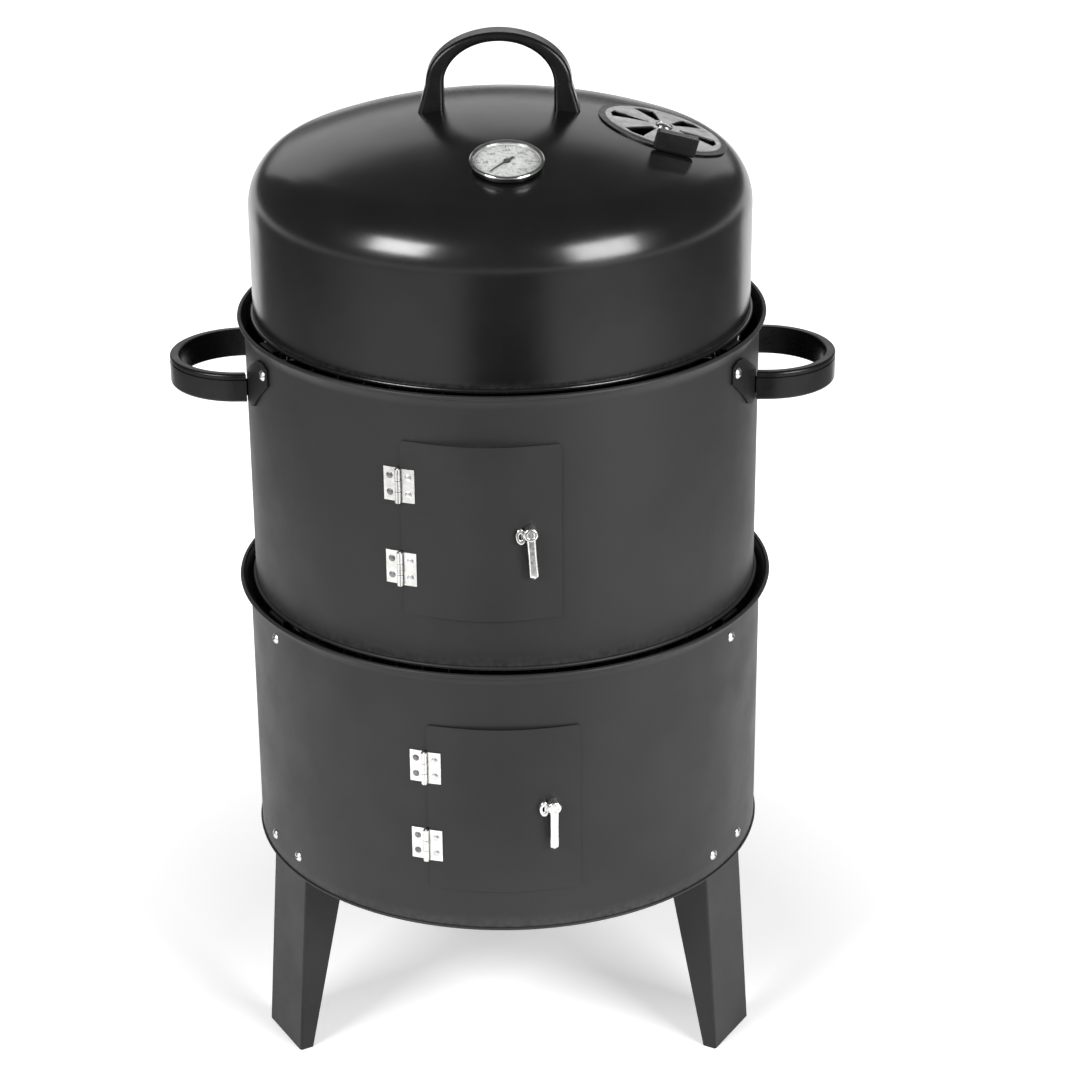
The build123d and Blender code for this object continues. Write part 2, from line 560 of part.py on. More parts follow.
# ---------------------------------------------------------------- legs
def leg(az):
    """Channel leg: flat web outward, tapered flanges inward, bent out below the drum."""
    top, bend, t = LEG_TOP_Z, LEG_BEND_Z, LEG_T

    def side_view(depth_top, depth_foot):
        return make_face(Polyline((LEG_TOP_R, top), (LEG_TOP_R, bend), (LEG_FOOT_R, 0), (LEG_FOOT_R - depth_foot, 0),
                                  (LEG_TOP_R - depth_top, bend), (LEG_TOP_R - depth_top, top), close=True))

    web = extrude(Plane.XZ * side_view(t, t), LEG_W / 2, both=True)
    flange = extrude(Plane.XZ * side_view(LEG_TOP_DEPTH, LEG_FOOT_DEPTH), t / 2, both=True)
    ledge_l = LEG_TOP_R - t / 2 - LEG_LEDGE_R
    ledge = Pos(LEG_LEDGE_R + ledge_l / 2, 0, top - t / 2) * Box(ledge_l, LEG_W - 4 * t, t)
    channel = web + ledge
    for side in (-1, 1):
        channel += Pos(0, side * (LEG_W - t) / 2, 0) * flange
    folds = [e for e in channel.edges()
             if abs(abs(e.center().Y) - LEG_W / 2) < 0.01 and e.center().X > LEG_TOP_R - 1 and e.length > 20]
    channel = fillet(folds, 2.2)
    channel = Rot(0, 0, az - 90) * channel
    for step in (-LEG_BOLT_AZ, LEG_BOLT_AZ):
        channel -= bolt_hole(az + step, LEG_BOLT_Z)
    return channel


# ---------------------------------------------------------------- assembly
def lower_section():
    """Lower drum with its door, supports and legs: everything that stays on the floor."""
    nodes, holes = door_parts("lower")
    body = drum(LOWER_R, LOWER_Z0, LOWER_Z1, LOWER_RIM_R, 1.2) - holes
    bolts, nuts, supports, leg_bolts, leg_nuts = [], [], [], [], []
    inner = LOWER_R - SHEET
    for az in LOWER_SUPPORT_AZ:
        supports.append(support(az, inner, LOWER_SUPPORT_Z, (190.5, 176.5, 163.0), LOWER_SUPPORT_BOLT_Z, 346.0))
        bolts.append(bolt(az, LOWER_R, LOWER_SUPPORT_BOLT_Z, 7.5))
        nuts.append(nut(az, inner - SUPPORT_T, LOWER_SUPPORT_BOLT_Z))
        body -= bolt_hole(az, LOWER_SUPPORT_BOLT_Z)
    for name, leg_az in LEG_AZ.items():
        nodes[name] = leg(leg_az)
        for step in (-LEG_BOLT_AZ, LEG_BOLT_AZ):
            az = leg_az + step
            seat = (LEG_TOP_R - LEG_T) / cos(radians(LEG_BOLT_AZ))
            leg_bolts.append(bolt(az, LOWER_R, LEG_BOLT_Z, 10.0))
            leg_nuts.append(nut(az, seat - 0.5, LEG_BOLT_Z))
            body -= bolt_hole(az, LEG_BOLT_Z)
    nodes["lower_drum"] = body
    nodes["lower_grate_supports"] = Compound(children=supports)
    nodes["lower_support_bolts"] = Compound(children=bolts)
    nodes["lower_support_nuts"] = Compound(children=nuts)
    nodes["leg_bolts"] = Compound(children=leg_bolts)
    nodes["leg_nuts"] = Compound(children=leg_nuts)
    return nodes


def upper_section():
    """Upper drum with its door, supports and side handles."""
    nodes, holes = door_parts("upper")
    body = drum(UPPER_R, UPPER_Z0, UPPER_Z1, UPPER_RIM_R, HEM_R) - holes
    inner = UPPER_R - SHEET
    supports, bolts, nuts = [], [], []
    for az in UPPER_SUPPORT_AZ:
        supports.append(support(az, inner, UPPER_SUPPORT_Z, (186.8, 172.0), HANDLE_BOLT_Z, 560.0))
    for az in HANDLE_BOLT_AZ:
        inside = inner - SUPPORT_T if az in UPPER_SUPPORT_AZ else inner
        bolts.append(bolt(az, UPPER_R + SIDE_PLATE_T, HANDLE_BOLT_Z, 9.5))
        nuts.append(nut(az, inside, HANDLE_BOLT_Z))
        body -= bolt_hole(az, HANDLE_BOLT_Z)
    body -= bolt_hole(180.0, HANDLE_BOLT_Z)
    nodes["upper_drum"] = body
    nodes["upper_grate_supports"] = Compound(children=supports)
    nodes["side_handle_bolts"] = Compound(children=bolts)
    nodes["side_handle_nuts"] = Compound(children=nuts)
    nodes["rear_support_bolt"] = bolt(180.0, UPPER_R, HANDLE_BOLT_Z, 7.5)
    nodes["rear_support_nut"] = nut(180.0, inner - SUPPORT_T, HANDLE_BOLT_Z)
    for name, side in (("left", -1), ("right", 1)):
        nodes[f"side_handle_brackets_{name}"] = Compound(children=[side_plate(side, -1), side_plate(side, 1)])
        nodes[f"side_handle_grip_{name}"] = side_grip(side)
    return nodes


def lid_section():
    """Lid shell with its handle, vent and thermometer."""
    screws, washers = handle_fasteners()
    nodes = {"lid_shell": lid_shell(), "lid_handle": lid_handle()}
    nodes["lid_handle_screws"] = screws
    nodes["lid_handle_washers"] = washers
    nodes.update(vent_parts())
    nodes.update(gauge_parts())
    return nodes


def loose_pieces():
    """What lifts out: two cooking grates, the water bowl, the charcoal bowl and its grate."""
    rest = GRATE_RING_R + 2 * GAP
    water_z = LOWER_SUPPORT_Z[2] + GAP
    charcoal_z = LEG_TOP_Z + GAP
    wall = bowl_wall(charcoal_z, CHARCOAL_BOWL_DEPTH, CHARCOAL_BOWL_FLOOR_R, SHEET)
    rack_z = rest_height(wall, CHARCOAL_GRATE_R - GRATE_RING_R, GRATE_RING_R)
    return {
        "upper_cooking_grate": wire_grate(GRATE_R, UPPER_SUPPORT_Z[1] + rest),
        "lower_cooking_grate": wire_grate(GRATE_R, LOWER_SUPPORT_Z[1] + rest),
        "water_bowl": bowl(water_z, WATER_BOWL_DEPTH, WATER_BOWL_FLOOR_R),
        "charcoal_bowl": bowl(charcoal_z, CHARCOAL_BOWL_DEPTH, CHARCOAL_BOWL_FLOOR_R),
        "charcoal_grate": wire_grate(CHARCOAL_GRATE_R, rack_z),
    }


def main():
    os.makedirs("parts", exist_ok=True)
    nodes = {**lower_section(), **upper_section(), **lid_section(), **loose_pieces()}
    for name, shape in nodes.items():
        export_step(shape, f"parts/{name}.step")


main()
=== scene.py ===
"""Looks of the vertical water smoker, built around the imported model.

Metres, +Z up.  The origin is on the floor, on the axis of the drums, and the doors
face -Y.  An azimuth is an angle about +Z in degrees: 0 is the front and 90 is +X.
"""

import json
from math import asin, atan2, ceil, cos, degrees, hypot, pi, radians, sin, sqrt

import bmesh
import bpy
from mathutils import Matrix, Vector
from mathutils.geometry import delaunay_2d_cdt


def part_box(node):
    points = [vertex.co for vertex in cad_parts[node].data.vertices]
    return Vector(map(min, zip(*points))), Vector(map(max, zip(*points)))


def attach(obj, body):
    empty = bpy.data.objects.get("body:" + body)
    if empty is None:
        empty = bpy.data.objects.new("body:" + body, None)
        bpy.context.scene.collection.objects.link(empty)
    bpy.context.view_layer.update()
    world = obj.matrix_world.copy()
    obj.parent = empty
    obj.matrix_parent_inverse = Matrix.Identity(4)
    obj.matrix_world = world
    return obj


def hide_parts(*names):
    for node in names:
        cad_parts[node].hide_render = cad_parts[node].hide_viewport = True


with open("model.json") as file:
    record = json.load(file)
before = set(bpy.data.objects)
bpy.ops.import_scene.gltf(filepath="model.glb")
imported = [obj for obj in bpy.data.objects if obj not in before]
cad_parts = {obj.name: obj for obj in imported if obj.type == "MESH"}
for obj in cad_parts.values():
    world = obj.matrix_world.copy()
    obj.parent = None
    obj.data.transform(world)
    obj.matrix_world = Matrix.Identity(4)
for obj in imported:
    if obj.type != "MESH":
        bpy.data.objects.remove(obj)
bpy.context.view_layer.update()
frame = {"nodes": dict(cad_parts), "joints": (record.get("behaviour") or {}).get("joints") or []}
JOINTS = {joint["name"]: joint for joint in frame["joints"]}

MM = 0.001
SHEET = 1.0 * MM            # pressed sheet steel
GAP = 0.3 * MM              # clearance between pieces that move apart
AROUND = 288                # faces around a drum or the lid
UP = Vector((0, 0, 1))


# ---------------------------------------------------------------- sizes read from the frame
def low(node):
    return Vector(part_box(node)[0])


def high(node):
    return Vector(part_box(node)[1])


def joint_place(name):
    return Vector(JOINTS[name]["pos_m"])


def azimuth_of(point):
    return degrees(atan2(point.x, -point.y))


HINGE_OFFSET = 3.4 * MM     # from a drum's wall to the axis of its door's hinges
DOOR_T = 1.0 * MM
WALL_R = {name: hypot(*joint_place(f"{name}_door_swing")[:2]) - HINGE_OFFSET for name in ("upper", "lower")}

HEM_R = 1.6 * MM
BEAD_R = 1.8 * MM
LID_R = high("lid_shell").x - 2 * HEM_R + SHEET
LID_FOOT = low("lid_shell").z + HEM_R
LID_SHOULDER_R = 46.6 * MM
LID_SHOULDER_Z = LID_FOOT + 83.5 * MM
LID_DOME_R = 450.0 * MM
LID_ARC_X = LID_R - LID_SHOULDER_R
LID_CENTRE_Z = LID_SHOULDER_Z - sqrt((LID_DOME_R - LID_SHOULDER_R) ** 2 - LID_ARC_X**2)


def dome_z(distance):
    """Height of the lid's outer face at a distance from the axis."""
    return LID_CENTRE_Z + sqrt(LID_DOME_R**2 - distance**2)


def radial(azimuth, r, z):
    """Frame that faces outward from the axis: x runs around the drum, y is up."""
    a = radians(azimuth)
    x = Vector((cos(a), sin(a), 0))
    out = Vector((sin(a), -cos(a), 0))
    return frame_from(out * r + UP * z, x, out)


def frame_from(origin, x, z):
    y = z.cross(x)
    return Matrix.Translation(origin) @ Matrix((x, y, z)).transposed().to_4x4()


def on_dome(joint):
    """Frame on the lid where a joint turns: z is the outward normal, x points downhill."""
    origin = joint_place(joint)
    normal = (origin - Vector((0, 0, LID_CENTRE_Z))).normalized()
    return frame_from(origin, (normal.z * Vector((normal.x, normal.y, 0)).normalized()
                               - UP * hypot(normal.x, normal.y)), normal)


def islands(node):
    """Centres of the separate solids that one CAD node holds."""
    mesh = bmesh.new()
    mesh.from_mesh(frame["nodes"][node].data)
    bmesh.ops.remove_doubles(mesh, verts=mesh.verts, dist=1e-6)
    left = set(mesh.verts)
    centres = []
    while left:
        stack = [left.pop()]
        found = []
        while stack:
            vertex = stack.pop()
            found.append(vertex.co.copy())
            for edge in vertex.link_edges:
                other = edge.other_vert(vertex)
                if other in left:
                    left.remove(other)
                    stack.append(other)
        lowest = Vector(min(p[i] for p in found) for i in range(3))
        highest = Vector(max(p[i] for p in found) for i in range(3))
        centres.append((lowest + highest) / 2)
    mesh.free()
    return sorted(centres, key=lambda p: (round(azimuth_of(p), 3), round(p.z, 5)))


# ---------------------------------------------------------------- mesh helpers
class Form:
    """Vertices and faces gathered for one piece."""

    def __init__(self, shape=None, place=Matrix.Identity(4)):
        self.verts = []
        self.faces = []
        if shape:
            self.add(shape, place)

    def add(self, shape, place=Matrix.Identity(4)):
        verts, faces = shape
        start = len(self.verts)
        self.verts += [place @ Vector(v) for v in verts]
        self.faces += [[start + i for i in face] for face in faces]
        return self


def mm(*points):
    """Points given in millimetres."""
    return [(x * MM, y * MM) for x, y in points]


def arc(centre, r, start, end, steps):
    """Points of an arc, angles in degrees."""
    angles = [radians(start + (end - start) * i / steps) for i in range(steps + 1)]
    return [(centre[0] + r * cos(a), centre[1] + r * sin(a)) for a in angles]


def lathe(profile, steps=AROUND, closed=False, azimuths=None, skip=None):
    """Surface of revolution about Z; the profile is (radius, height) and may end on the axis."""
    azimuths = azimuths or [360 * i / steps for i in range(steps)]
    count = len(azimuths)
    verts, rows = [], []
    for r, z in profile:
        if abs(r) < 1e-7:
            rows.append([len(verts)] * count)
            verts.append((0, 0, z))
            continue
        rows.append(list(range(len(verts), len(verts) + count)))
        verts += [(r * sin(radians(a)), -r * cos(radians(a)), z) for a in azimuths]
    pairs = list(zip(range(len(rows) - 1), range(1, len(rows))))
    if closed:
        pairs.append((len(rows) - 1, 0))
    faces = []
    for i, k in pairs:
        for j in range(count):
            n = (j + 1) % count
            corners = [rows[i][j], rows[i][n], rows[k][n], rows[k][j]]
            face = [v for m, v in enumerate(corners) if v not in corners[:m]]
            if len(face) < 3 or (skip and skip(i, j)):
                continue
            faces.append(face)
    return verts, faces


def ring(r, z, tube, steps=AROUND, sides=14):
    """Torus: the rolled edge of a sheet."""
    return lathe(arc((r, z), tube, 0, 360, sides)[:-1], steps, closed=True)


def loft(sections, closed_ends=True):
    """Skin over closed sections that have the same number of points."""
    count = len(sections[0])
    verts = [p for section in sections for p in section]
    faces = []
    for i in range(len(sections) - 1):
        for j in range(count):
            n = (j + 1) % count
            faces.append([i * count + j, i * count + n, (i + 1) * count + n, (i + 1) * count + j])
    if closed_ends:
        faces.append(list(range(count))[::-1])
        faces.append(list(range(len(verts) - count, len(verts))))
    return verts, faces


def rounded(half_w, half_h, corner, steps=5):
    """Outline of a rounded rectangle about the origin."""
    points = []
    for k, (sx, sy) in enumerate(((1, 1), (-1, 1), (-1, -1), (1, -1))):
        centre = (sx * (half_w - corner), sy * (half_h - corner))
        points += arc(centre, corner, 90 * k, 90 * k + 90, steps)
    return points


def prism(outline, z0, z1):
    """Straight solid over a flat outline."""
    return loft([[(x, y, z0) for x, y in outline], [(x, y, z1) for x, y in outline]])


def inside(point, outline):
    x, y = point
    hit = False
    for (x0, y0), (x1, y1) in zip(outline, outline[1:] + outline[:1]):
        if (y0 > y) != (y1 > y) and x < (x1 - x0) * (y - y0) / (y1 - y0) + x0:
            hit = not hit
    return hit


def on_plate(point, outline, holes):
    return inside(point, outline) and not any(inside(point, hole) for hole in holes)


def edge_distance(point, outline):
    p = Vector(point)
    best = 1e9
    for a, b in zip(outline, outline[1:] + outline[:1]):
        a, b = Vector(a), Vector(b)
        along = b - a
        t = max(0.0, min(1.0, (p - a).dot(along) / max(along.length_squared, 1e-18)))
        best = min(best, (a + along * t - p).length)
    return best


def refined(outline, spacing):
    """The outline with its long sides divided."""
    points = []
    for a, b in zip(outline, outline[1:] + outline[:1]):
        count = max(1, ceil(hypot(b[0] - a[0], b[1] - a[1]) / spacing))
        points += [tuple(p + (q - p) * i / count for p, q in zip(a, b)) for i in range(count)]
    return points


def sheet_mesh(outline, holes, spacing, bend):
    """Flat plate with holes, filled with even triangles and bent by bend(x, y) -> point."""
    loops = [refined(loop, spacing) for loop in [outline] + holes]
    verts = [p for loop in loops for p in loop]
    edges = []
    for loop in loops:
        start = verts.index(loop[0])
        edges += [(start + i, start + (i + 1) % len(loop)) for i in range(len(loop))]
    xs, ys = [p[0] for p in outline], [p[1] for p in outline]
    row = 0
    y = min(ys) + spacing / 2
    while y < max(ys):
        x = min(xs) + spacing * (0.5 if row % 2 else 1.0)
        while x < max(xs):
            near = min(edge_distance((x, y), loop) for loop in loops)
            if near > 0.45 * spacing and on_plate((x, y), outline, holes):
                verts.append((x, y))
            x += spacing
        y += spacing * 0.87
        row += 1
    points, _, triangles, _, _, _ = delaunay_2d_cdt([Vector(v) for v in verts], edges, [], 0, 1e-9)
    faces = []
    for face in triangles:
        centre = sum((points[i] for i in face), Vector((0, 0))) / len(face)
        if on_plate(centre, outline, holes):
            faces.append(list(face))
    return [bend(p.x, p.y) for p in points], faces


def applied(obj):
    """Turns the object's modifiers into plain mesh."""
    bpy.context.view_layer.update()
    graph = bpy.context.evaluated_depsgraph_get()
    mesh = bpy.data.meshes.new_from_object(obj.evaluated_get(graph))
    old = obj.data
    obj.modifiers.clear()
    obj.data = mesh
    bpy.data.meshes.remove(old)


def new_object(name, data):
    obj = bpy.data.objects.new(name, data)
    bpy.context.scene.collection.objects.link(obj)
    return obj


def to_object(name, form):
    mesh = bpy.data.meshes.new(name)
    mesh.from_pydata([tuple(v) for v in form.verts], [], form.faces)
    mesh.validate()
    return new_object(name, mesh)


def outward(obj):
    """Faces of closed shells turned outward, and doubled points merged."""
    mesh = bmesh.new()
    mesh.from_mesh(obj.data)
    bmesh.ops.remove_doubles(mesh, verts=mesh.verts, dist=1e-7)
    bmesh.ops.recalc_face_normals(mesh, faces=mesh.faces)
    mesh.to_mesh(obj.data)
    mesh.free()


def face_toward(obj, direction):
    """Turns an open sheet's faces over if they look the other way."""
    if obj.data.polygons[0].normal.dot(direction) < 0:
        obj.data.flip_normals()


def modify(obj, name, kind, **settings):
    """Adds a modifier to the object."""
    step = obj.modifiers.new(name, kind)
    for key, value in settings.items():
        setattr(step, key, value)


def thicken(obj, thickness):
    """Solid sheet: grows inward from the faces."""
    modify(obj, "sheet", "SOLIDIFY", thickness=thickness, offset=-1.0, use_even_offset=True)


def soften(obj, width, segments=2, angle=35):
    """Eased edges that catch the light."""
    modify(obj, "eased_edges", "BEVEL", width=width, segments=segments, limit_method="ANGLE",
           angle_limit=radians(angle), use_clamp_overlap=True)


def cut(obj, cutter):
    """Takes a closed shape out of the object."""
    tool = to_object("cutter", cutter)
    outward(tool)
    modify(obj, "cut", "BOOLEAN", operation="DIFFERENCE", solver="EXACT", use_self=True, object=tool)
    applied(obj)
    bpy.data.objects.remove(tool)


def joined(obj, *others):
    """Adds the meshes of other objects to one object."""
    mesh = bmesh.new()
    for part in (obj, *others):
        mesh.from_mesh(part.data)
    mesh.to_mesh(obj.data)
    mesh.free()
    for part in others:
        bpy.data.objects.remove(part)


def add_closed(obj, *shapes, place=Matrix.Identity(4)):
    """Joins closed shells to the object."""
    form = Form()
    for shape in shapes:
        form.add(shape, place)
    extra = to_object("extra", form)
    outward(extra)
    joined(obj, extra)


def even_shading(obj):
    modify(obj, "even_shading", "WEIGHTED_NORMAL", keep_sharp=True)


def smooth(obj, angle=32):
    obj.data.shade_smooth()
    obj.data.set_sharp_from_angle(angle=radians(angle))
    even_shading(obj)


def place(obj, body, slot, material, nodes=()):
    """Material, body and replaced CAD nodes of a finished piece."""
    obj.data.materials.clear()
    obj.data.materials.append(material)
    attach(obj, body)
    if nodes:
        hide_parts(*nodes)
    return obj


def closed_piece(name, form, material, body, slot, nodes=(), ease=0.0, angle=32):
    """Piece made of closed shells."""
    obj = to_object(name, form)
    outward(obj)
    if ease:
        soften(obj, ease)
        applied(obj)
    smooth(obj, angle)
    return place(obj, body, slot, material, nodes)


# ---------------------------------------------------------------- materials
ALONG_Z = (1, 1, 12)        # how much finer a grain is along each axis
EVEN = (1, 1, 1)


class Shader:
    """Short-hand for building one procedural material."""

    def __init__(self, name):
        self.material = bpy.data.materials.new(name)
        self.material.use_nodes = True
        self.tree = self.material.node_tree
        self.shader = self.tree.nodes["Principled BSDF"]
        self.coords = self.tree.nodes.new("ShaderNodeTexCoord").outputs["Object"]

    def fill(self, target, value):
        """Puts a value into an input, or links a socket to it."""
        if isinstance(value, bpy.types.NodeSocket):
            self.tree.links.new(value, target)
        else:
            target.default_value = value

    def node(self, kind, inputs=None, **settings):
        """New node with its inputs filled, by name or place."""
        node = self.tree.nodes.new(kind)
        for key, value in settings.items():
            setattr(node, key, value)
        for key, value in (inputs or {}).items():
            self.fill(node.inputs[key], value)
        return node

    def set(self, **values):
        for key, value in values.items():
            self.fill(self.shader.inputs[key.replace("_", " ")], value)

    def noise(self, scale, detail=2.0, stretch=None, roughness=0.5):
        """Noise with its features 1/scale metres apart."""
        at = self.coords
        if stretch:
            at = self.node("ShaderNodeMapping", {"Scale": stretch, "Vector": at}).outputs["Vector"]
        inputs = {"Scale": scale, "Detail": detail, "Roughness": roughness, "Vector": at}
        return self.node("ShaderNodeTexNoise", inputs).outputs["Fac"]

    def ranged(self, value, low_in, high_in, low_out, high_out):
        limits = {"From Min": low_in, "From Max": high_in, "To Min": low_out, "To Max": high_out}
        return self.node("ShaderNodeMapRange", {"Value": value, **limits}).outputs["Result"]

    def math(self, operation, a, b):
        return self.node("ShaderNodeMath", {0: a, 1: b}, operation=operation).outputs[0]

    def mixed(self, factor, first, second):
        """Mix of two colours, each a tuple or a socket."""
        first, second = [(*c, 1.0) if isinstance(c, tuple) else c for c in (first, second)]
        return self.node("ShaderNodeMix", {0: factor, 6: first, 7: second}, data_type="RGBA").outputs[2]

    def worn_edges(self, start, end, amount):
        """Mask of convex edges, broken up by noise."""
        geometry = self.node("ShaderNodeNewGeometry")
        edges = self.ranged(geometry.outputs["Pointiness"], start, end, 0.0, amount)
        return self.math("MULTIPLY", edges, self.ranged(self.noise(240, 3), 0.35, 0.65, 0.2, 1.0))

    def folded_edges(self, radius, amount):
        """Mask of the sharp edges of a coarse mesh, broken up by noise."""
        eased = self.node("ShaderNodeBevel", {"Radius": radius}, samples=6).outputs["Normal"]
        flat = self.node("ShaderNodeNewGeometry").outputs["Normal"]
        turned = self.node("ShaderNodeVectorMath", {0: eased, 1: flat}, operation="DOT_PRODUCT")
        edges = self.ranged(turned.outputs["Value"], 0.985, 0.8, 0.0, amount)
        return self.math("MULTIPLY", edges, self.ranged(self.noise(240, 3), 0.35, 0.65, 0.1, 1.0))

    def clear_of_gap_shade(self, reach, closed=0.25, clear=0.85):
        """Mask for painted shade: 1 in the open and 0 in a narrow gap."""
        near = self.node("ShaderNodeAmbientOcclusion", {"Distance": reach}, samples=8)
        return self.ranged(near.outputs["AO"], closed, clear, 0.0, 1.0)

    def painted_gap_shade(self, colour, reach, shade):
        """The colour with painted shade: darkened where another surface is close."""
        return self.mixed(self.clear_of_gap_shade(reach), shade, colour)

    def bump(self, layers):
        """Bump from (height socket, strength, distance) layers."""
        below = {}
        for height, strength, distance in layers:
            inputs = {"Height": height, "Strength": strength, "Distance": distance, **below}
            below = {"Normal": self.node("ShaderNodeBump", inputs).outputs["Normal"]}
        self.set(**below)


def paint(name, dark, light, rough, peel, gloss, wear=0.3, folded=False):
    """Black coating on steel: faint cloudiness, orange peel, dust and slightly worn edges, with painted shade
    that darkens it and damps its gloss in narrow gaps; folded is for a coarse mesh with sharp edges."""
    s = Shader(name)
    clouds = s.ranged(s.noise(9, 4), 0.35, 0.65, 0.0, 1.0)
    colour = s.mixed(clouds, dark, light)
    specks = s.ranged(s.noise(900, 2), 0.66, 0.74, 0.0, 0.2)
    colour = s.mixed(specks, colour, (0.06, 0.06, 0.062))
    edges = s.folded_edges(0.0008, wear) if folded else s.worn_edges(0.53, 0.6, wear)
    colour = s.mixed(edges, colour, (0.13, 0.13, 0.135))
    # Painted shade: the colour goes almost black and the gloss fades in narrow gaps.
    unshaded = s.clear_of_gap_shade(0.005, 0.05, 0.6)
    s.set(Base_Color=s.mixed(unshaded, (0.002, 0.002, 0.002), colour))
    s.set(Specular_IOR_Level=s.math("MULTIPLY", unshaded, gloss))
    smears = s.ranged(s.noise(26, 5, roughness=0.6), 0.3, 0.7, rough[0], rough[1])
    s.set(Roughness=smears)
    s.bump([(s.noise(60, 2), 0.05, 0.0004), (s.noise(950, 3), peel, 0.00008)])
    return s.material


def moulded(name):
    """Black heat-resistant plastic with a polished skin."""
    s = Shader(name)
    clouds = s.ranged(s.noise(40, 3), 0.35, 0.65, 0.0, 1.0)
    colour = s.mixed(clouds, (0.0035, 0.0035, 0.0037), (0.006, 0.006, 0.0063))
    colour = s.mixed(s.folded_edges(0.0006, 0.12), colour, (0.03, 0.03, 0.031))
    s.set(Base_Color=colour)
    s.set(Roughness=s.ranged(s.noise(70, 4), 0.3, 0.7, 0.24, 0.36))
    s.set(Specular_IOR_Level=0.35)
    s.bump([(s.noise(900, 2), 0.04, 0.00005)])
    return s.material


def plated(name, dark, light, rough, scratch=0.12, stretch=ALONG_Z, scale=260, rim=None):
    """Metal plating with fine directional scratches and slight tarnish, and painted shade where another
    surface is close; rim is the centre and the inner radius of a blackened edge."""
    s = Shader(name)
    tarnish = s.ranged(s.noise(120, 4, roughness=0.65), 0.35, 0.7, 0.0, 1.0)
    # Painted shade: darker where another surface is within 3 mm, such as in the gaps of the hinges.
    colour = s.painted_gap_shade(s.mixed(tarnish, light, dark), 0.003, (0.05, 0.05, 0.05))
    if rim:
        away = s.node("ShaderNodeVectorMath", {0: s.coords, 1: rim[0]}, operation="DISTANCE")
        black = s.ranged(away.outputs["Value"], rim[1], rim[1] + 0.8 * MM, 0.0, 1.0)
        colour = s.mixed(black, colour, (0.06, 0.06, 0.061))
    s.set(Base_Color=colour)
    grain = s.noise(scale, 3, stretch=stretch)
    s.set(Roughness=s.ranged(grain, 0.3, 0.7, rough[0], rough[1]))
    s.set(Metallic=1.0)
    s.bump([(grain, scratch, 0.00005)])
    return s.material


def enamel(name):
    """Glossy black porcelain enamel with fine pale specks."""
    s = Shader(name)
    specks = s.ranged(s.noise(520, 2), 0.68, 0.71, 0.0, 0.8)
    clouds = s.ranged(s.noise(12, 3), 0.3, 0.7, 0.0, 1.0)
    ground = s.mixed(clouds, (0.012, 0.012, 0.013), (0.022, 0.022, 0.024))
    s.set(Base_Color=s.mixed(specks, ground, (0.32, 0.33, 0.35)))
    s.set(Roughness=s.ranged(s.noise(35, 4), 0.3, 0.7, 0.08, 0.2))
    s.set(Coat_Weight=0.4, Coat_Roughness=0.06)
    s.bump([(s.noise(180, 2), 0.06, 0.0002)])
    return s.material


def grey(level):
    """Neutral colour, a touch cooler than pure grey."""
    return (level, level, level * 1.04)


def printed(name, dark, light, rough, silver=0.0):
    """Printed card or ink, with some silver in it if asked."""
    s = Shader(name)
    s.set(Base_Color=s.mixed(s.ranged(s.noise(300, 3), 0.3, 0.7, 0.0, 1.0), dark, light))
    s.set(Roughness=s.ranged(s.noise(500, 2), 0.3, 0.7, rough - 0.05, rough + 0.05))
    s.set(Metallic=silver)
    s.bump([(s.noise(2500, 2), 0.05, 0.00003)])
    return s.material


def clear_glass(name):
    s = Shader(name)
    s.set(Roughness=s.ranged(s.noise(220, 4), 0.4, 0.75, 0.015, 0.07))
    s.set(Transmission_Weight=1.0, IOR=1.45)
    s.bump([(s.noise(30, 1), 0.02, 0.0003)])
    s.set(Base_Color=s.mixed(s.noise(20, 2), (0.95, 0.97, 0.965), (0.985, 0.99, 0.99)))
    return s.material


DRUM_PAINT = paint("drum_paint", grey(0.013), grey(0.018), (0.44, 0.54), 0.16, 0.34)
FRAME_PAINT = paint("frame_paint", grey(0.009), grey(0.014), (0.42, 0.52), 0.16, 0.3, folded=True)
BRACKET_PAINT = paint("bracket_paint", grey(0.005), grey(0.008), (0.45, 0.55), 0.1, 0.16, 0.25, folded=True)
LID_PAINT = paint("lid_paint", grey(0.005), grey(0.008), (0.19, 0.25), 0.05, 0.6, 0.2)
BOWL_ENAMEL = enamel("bowl_enamel")
PHENOLIC = moulded("phenolic")
NICKEL = plated("nickel", (0.62, 0.61, 0.58), (0.86, 0.855, 0.84), (0.26, 0.4))
CAST_NICKEL = plated("cast_nickel", (0.68, 0.675, 0.66), (0.9, 0.9, 0.89), (0.22, 0.36), 0.2, EVEN, 420)
ZINC = plated("zinc", (0.55, 0.56, 0.57), (0.8, 0.81, 0.83), (0.28, 0.42), 0.1, EVEN, 300)
# Darker zinc for the rivets of the drums' hinge leaves: painted shade of their countersunk recesses.
RECESS_SHADED_ZINC = plated("recess_shaded_zinc", grey(0.12), grey(0.3), (0.35, 0.5), 0.1, EVEN, 300)
WIRE = plated("chrome_wire", (0.6, 0.6, 0.61), (0.8, 0.8, 0.82), (0.14, 0.26), 0.08, EVEN, 260)
STAINLESS = plated("stainless", (0.6, 0.6, 0.59), (0.82, 0.82, 0.81), (0.12, 0.24), 0.08, (1, 1, 6), 200)
DIAL = printed("dial_face", (0.56, 0.56, 0.55), (0.74, 0.74, 0.73), 0.3, 0.4)
INK = printed("dial_ink", grey(0.02), grey(0.05), 0.45)
POINTER = printed("pointer", grey(0.02), grey(0.04), 0.4)
GLASS = clear_glass("gauge_glass")


